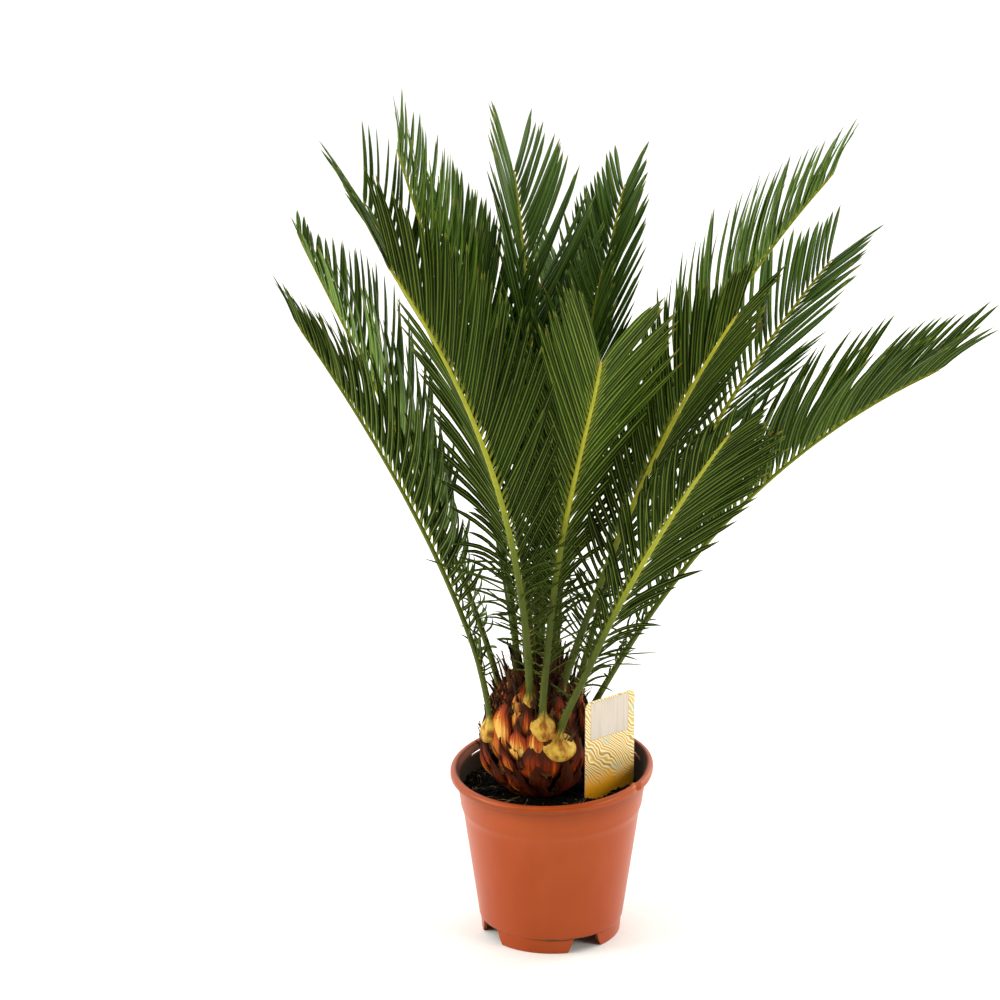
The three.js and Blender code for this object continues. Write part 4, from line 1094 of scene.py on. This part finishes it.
def label_card():
    """Card and stake: a flat closed section of two faces, carried up from the stake's tip. Its half
    width follows the stake, the shoulders and the rounded corners."""
    foot, top, corner, shoulder = LABEL["foot"], LABEL["top"], LABEL["corner"], 8
    half_card, half_stake = LABEL["width"] / 2, LABEL["stake_width"] / 2
    quarter = np.linspace(0, np.pi / 2, 9)
    opening, closing = 1 - np.cos(quarter), 1 - np.sin(quarter)
    height = np.concatenate([[LABEL["stake_tip"], 84, 95, foot - 5], foot + shoulder * opening,
                             np.linspace(foot + 12, top - 6, 24), top - corner * closing])
    half = np.concatenate([[0.8, 3, 6, half_stake], half_card - shoulder * closing,
                           np.full(24, half_card), half_card - corner * opening])
    across = np.concatenate([np.linspace(-1, 1, 13), np.linspace(1, -1, 13)])
    thick = np.repeat([-0.5, 0.5], 13) * LABEL["thick"]
    right, back = outward(LABEL["bearing"] + np.array([90, 180]))
    reach = half_card + half[:, None] * across
    points = (np.array([*LABEL["start"], 0]) + right * reach[..., None] + back * thick[:, None]
              + UP * height[:, None, None])
    return shells(points[None], across=reach, up=height[:, None] - foot,
                  front=np.repeat([1, 0], 13))


# ---- The plant ----------------------------------------------------------------------------------

pot_finish = moulded_polypropylene()
piece("pot_shell", pot_body(), pot_finish, ("pot",), sharp=40)
piece("pot_foot_ring", pot_feet(), pot_finish, sharp=40)

peat = damp_peat("damp_peat", "#020201", "#0b0a06", 1.6)
piece("peat_fill", soil_body(), peat, ("soil",))
crumbs, fibres = soil_litter()
piece("peat_crumbs", crumbs, damp_peat("bark_crumbs", "#040302", "#1a140c", 2.5))
piece("peat_fibres", fibres, dry_fibre("peat_fibre", "#2a1e12", "#96774a"))

seats = np.array([frond["seat"] for frond in FRONDS], float)
feet = STEM_AXIS + outward(seats[:, 0]) * seats[:, 1:2] + UP * seats[:, 2:]
swells = np.array([frond["swell"] for frond in FRONDS])
felt, thread = (dry_fibre("stem_felt", "#1c0f09", "#4c2a18"),
                dry_fibre("husk_thread", "#2a1a0d", "#6b4a2c"))
husk_finish = papery_husk()
piece("stem_core", stem_core(), felt, ("stem",))
piece("stem_scales", stem_scales(feet, swells), leaf_base_scale())
piece("stem_flakes", stem_flakes(), husk_finish)
piece("crown_husks", crown_husks(feet), husk_finish)
piece("crown_threads", crown_threads(), thread)

# Greens of the leaflets: two tones above and two below, the vein, roughness, wax, and how far the
# lines and the painted shade of the hollow show. The greens differ partly as the leaves do and
# partly as painted light: each frond takes the green that matches how much light reaches it, shade
# being a darker copy as painted shade and bright a lighter copy as painted light.
GREENS = {word: leaf_blade(f"leaflet_{word}", *looks) for word, looks in dict(
    olive=(("#20340a", "#3f5f16"), ("#1e3105", "#3c590a"), "#84943a", 0.5, 0.08, 0.85),
    shade=(("#182a07", "#304a10"), ("#172805", "#2c4407"), "#6c7b2c", 0.5, 0.06, 0.8),
    deep=(("#223607", "#3f5c11"), ("#21360a", "#3a560e"), "#768638", 0.45, 0.08, 0.65),
    fresh=(("#27420a", "#48661d"), ("#29430c", "#486419"), "#6f8538", 0.45, 0.13, 0.45),
    bright=(("#31500c", "#587a22"), ("#314e0c", "#557620"), "#8a9c42", 0.45, 0.18, 0.5)).items()}
piece("frond_ribs", joined(*(rib_body(frond) for frond in FRONDS)), leaf_stalk(),
      [f"frond_{k + 1:02d}" for k in range(len(FRONDS))])
for k, frond in enumerate(FRONDS):
    both = joined(leaflets(frond, 200 + k), wisps(frond, 400 + k))
    piece(f"leaflets_{k + 1:02d}", both, GREENS[frond["green"]])
piece("stalk_spines", joined(*(stalk_spines(frond, 300 + k) for k, frond in enumerate(FRONDS))),
      dry_fibre("spine_horn", "#8d6a34", "#c9a35c"))

piece("label_card", label_card(), printed_card(), ("plant_label",), sharp=40)

# ---- Stage --------------------------------------------------------------------------------------

half_floor = 60.0
corners = [(x * half_floor, y * half_floor, 0) for x, y in ((-1, -1), (1, -1), (1, 1), (-1, 1))]
floor_mesh = bpy.data.meshes.new("studio_floor")
floor_mesh.from_pydata(corners, [], [(0, 1, 2, 3)])
floor_mesh.materials.append(floor_paint())
floor = bpy.data.objects.new("studio_floor", floor_mesh)
bpy.context.scene.collection.objects.link(floor)


def soft_light(name, place, height, size, power, warmth=(1, 0.98, 0.88)):
    """A square soft box at a place, turned to look at that height above the origin, in metres."""
    data = bpy.data.lights.new(name, "AREA")
    data.shape = "SQUARE"
    data.size, data.energy, data.color = size, power, warmth
    made = bpy.data.objects.new(name, data)
    made.location = place
    look = np.array([0, 0, height]) - np.array(place)
    made.rotation_euler = (np.arctan2(np.hypot(look[0], look[1]), -look[2]), 0,
                           np.arctan2(look[1], look[0]) - np.pi / 2)
    bpy.context.scene.collection.objects.link(made)


soft_light("left_box", (-2.1, -0.4, 1.0), 0.25, 1.3, 43)
soft_light("right_box", (2.0, -1.1, 1.0), 0.25, 1.1, 32)
soft_light("key_box", (-1.2, -1.7, 2.3), 0.3, 1.0, 6, (1, 1, 1))
soft_light("back_box", (1.9, 1.3, 1.2), 0.3, 1.3, 27)

# The air is a bright ceiling that leans to a white back wall; the room is dark at the front.
world = bpy.data.worlds.new("studio_air")
world.use_nodes = True
air = world.node_tree
back = node(air, "SeparateXYZ", node(air, "TexCoord", out="Generated"), out="Y")
wall = node(air, "MapRange", back, -0.6, 0.5, 0.05, 0.95, interpolation_type="SMOOTHSTEP")
raised = node(air, "Math", back.node.outputs["Z"], 0.85, operation="MULTIPLY")
tilted = node(air, "Math", back, 0.45, raised, operation="MULTIPLY_ADD")
ceiling = node(air, "MapRange", tilted, 0.2, 0.85, wall, 1.65, interpolation_type="SMOOTHSTEP")
fill(air.nodes["Background"], {"Color": "#ffffff", "Strength": ceiling})
bpy.context.scene.world = world
bpy.context.scene.view_settings.view_transform = "Standard"

camera_data = bpy.data.cameras.new("camera")
camera_data.sensor_width, camera_data.lens = CAMERA["sensor"], CAMERA["lens"]
camera = bpy.data.objects.new("camera", camera_data)
camera.location = (np.array(CAMERA["place"]) + AXIS) / 1000
camera.rotation_euler = (np.radians(90 - CAMERA["pitch"]), 0, 0)
bpy.context.scene.collection.objects.link(camera)
bpy.context.scene.camera = camera

bpy.context.view_layer.update()
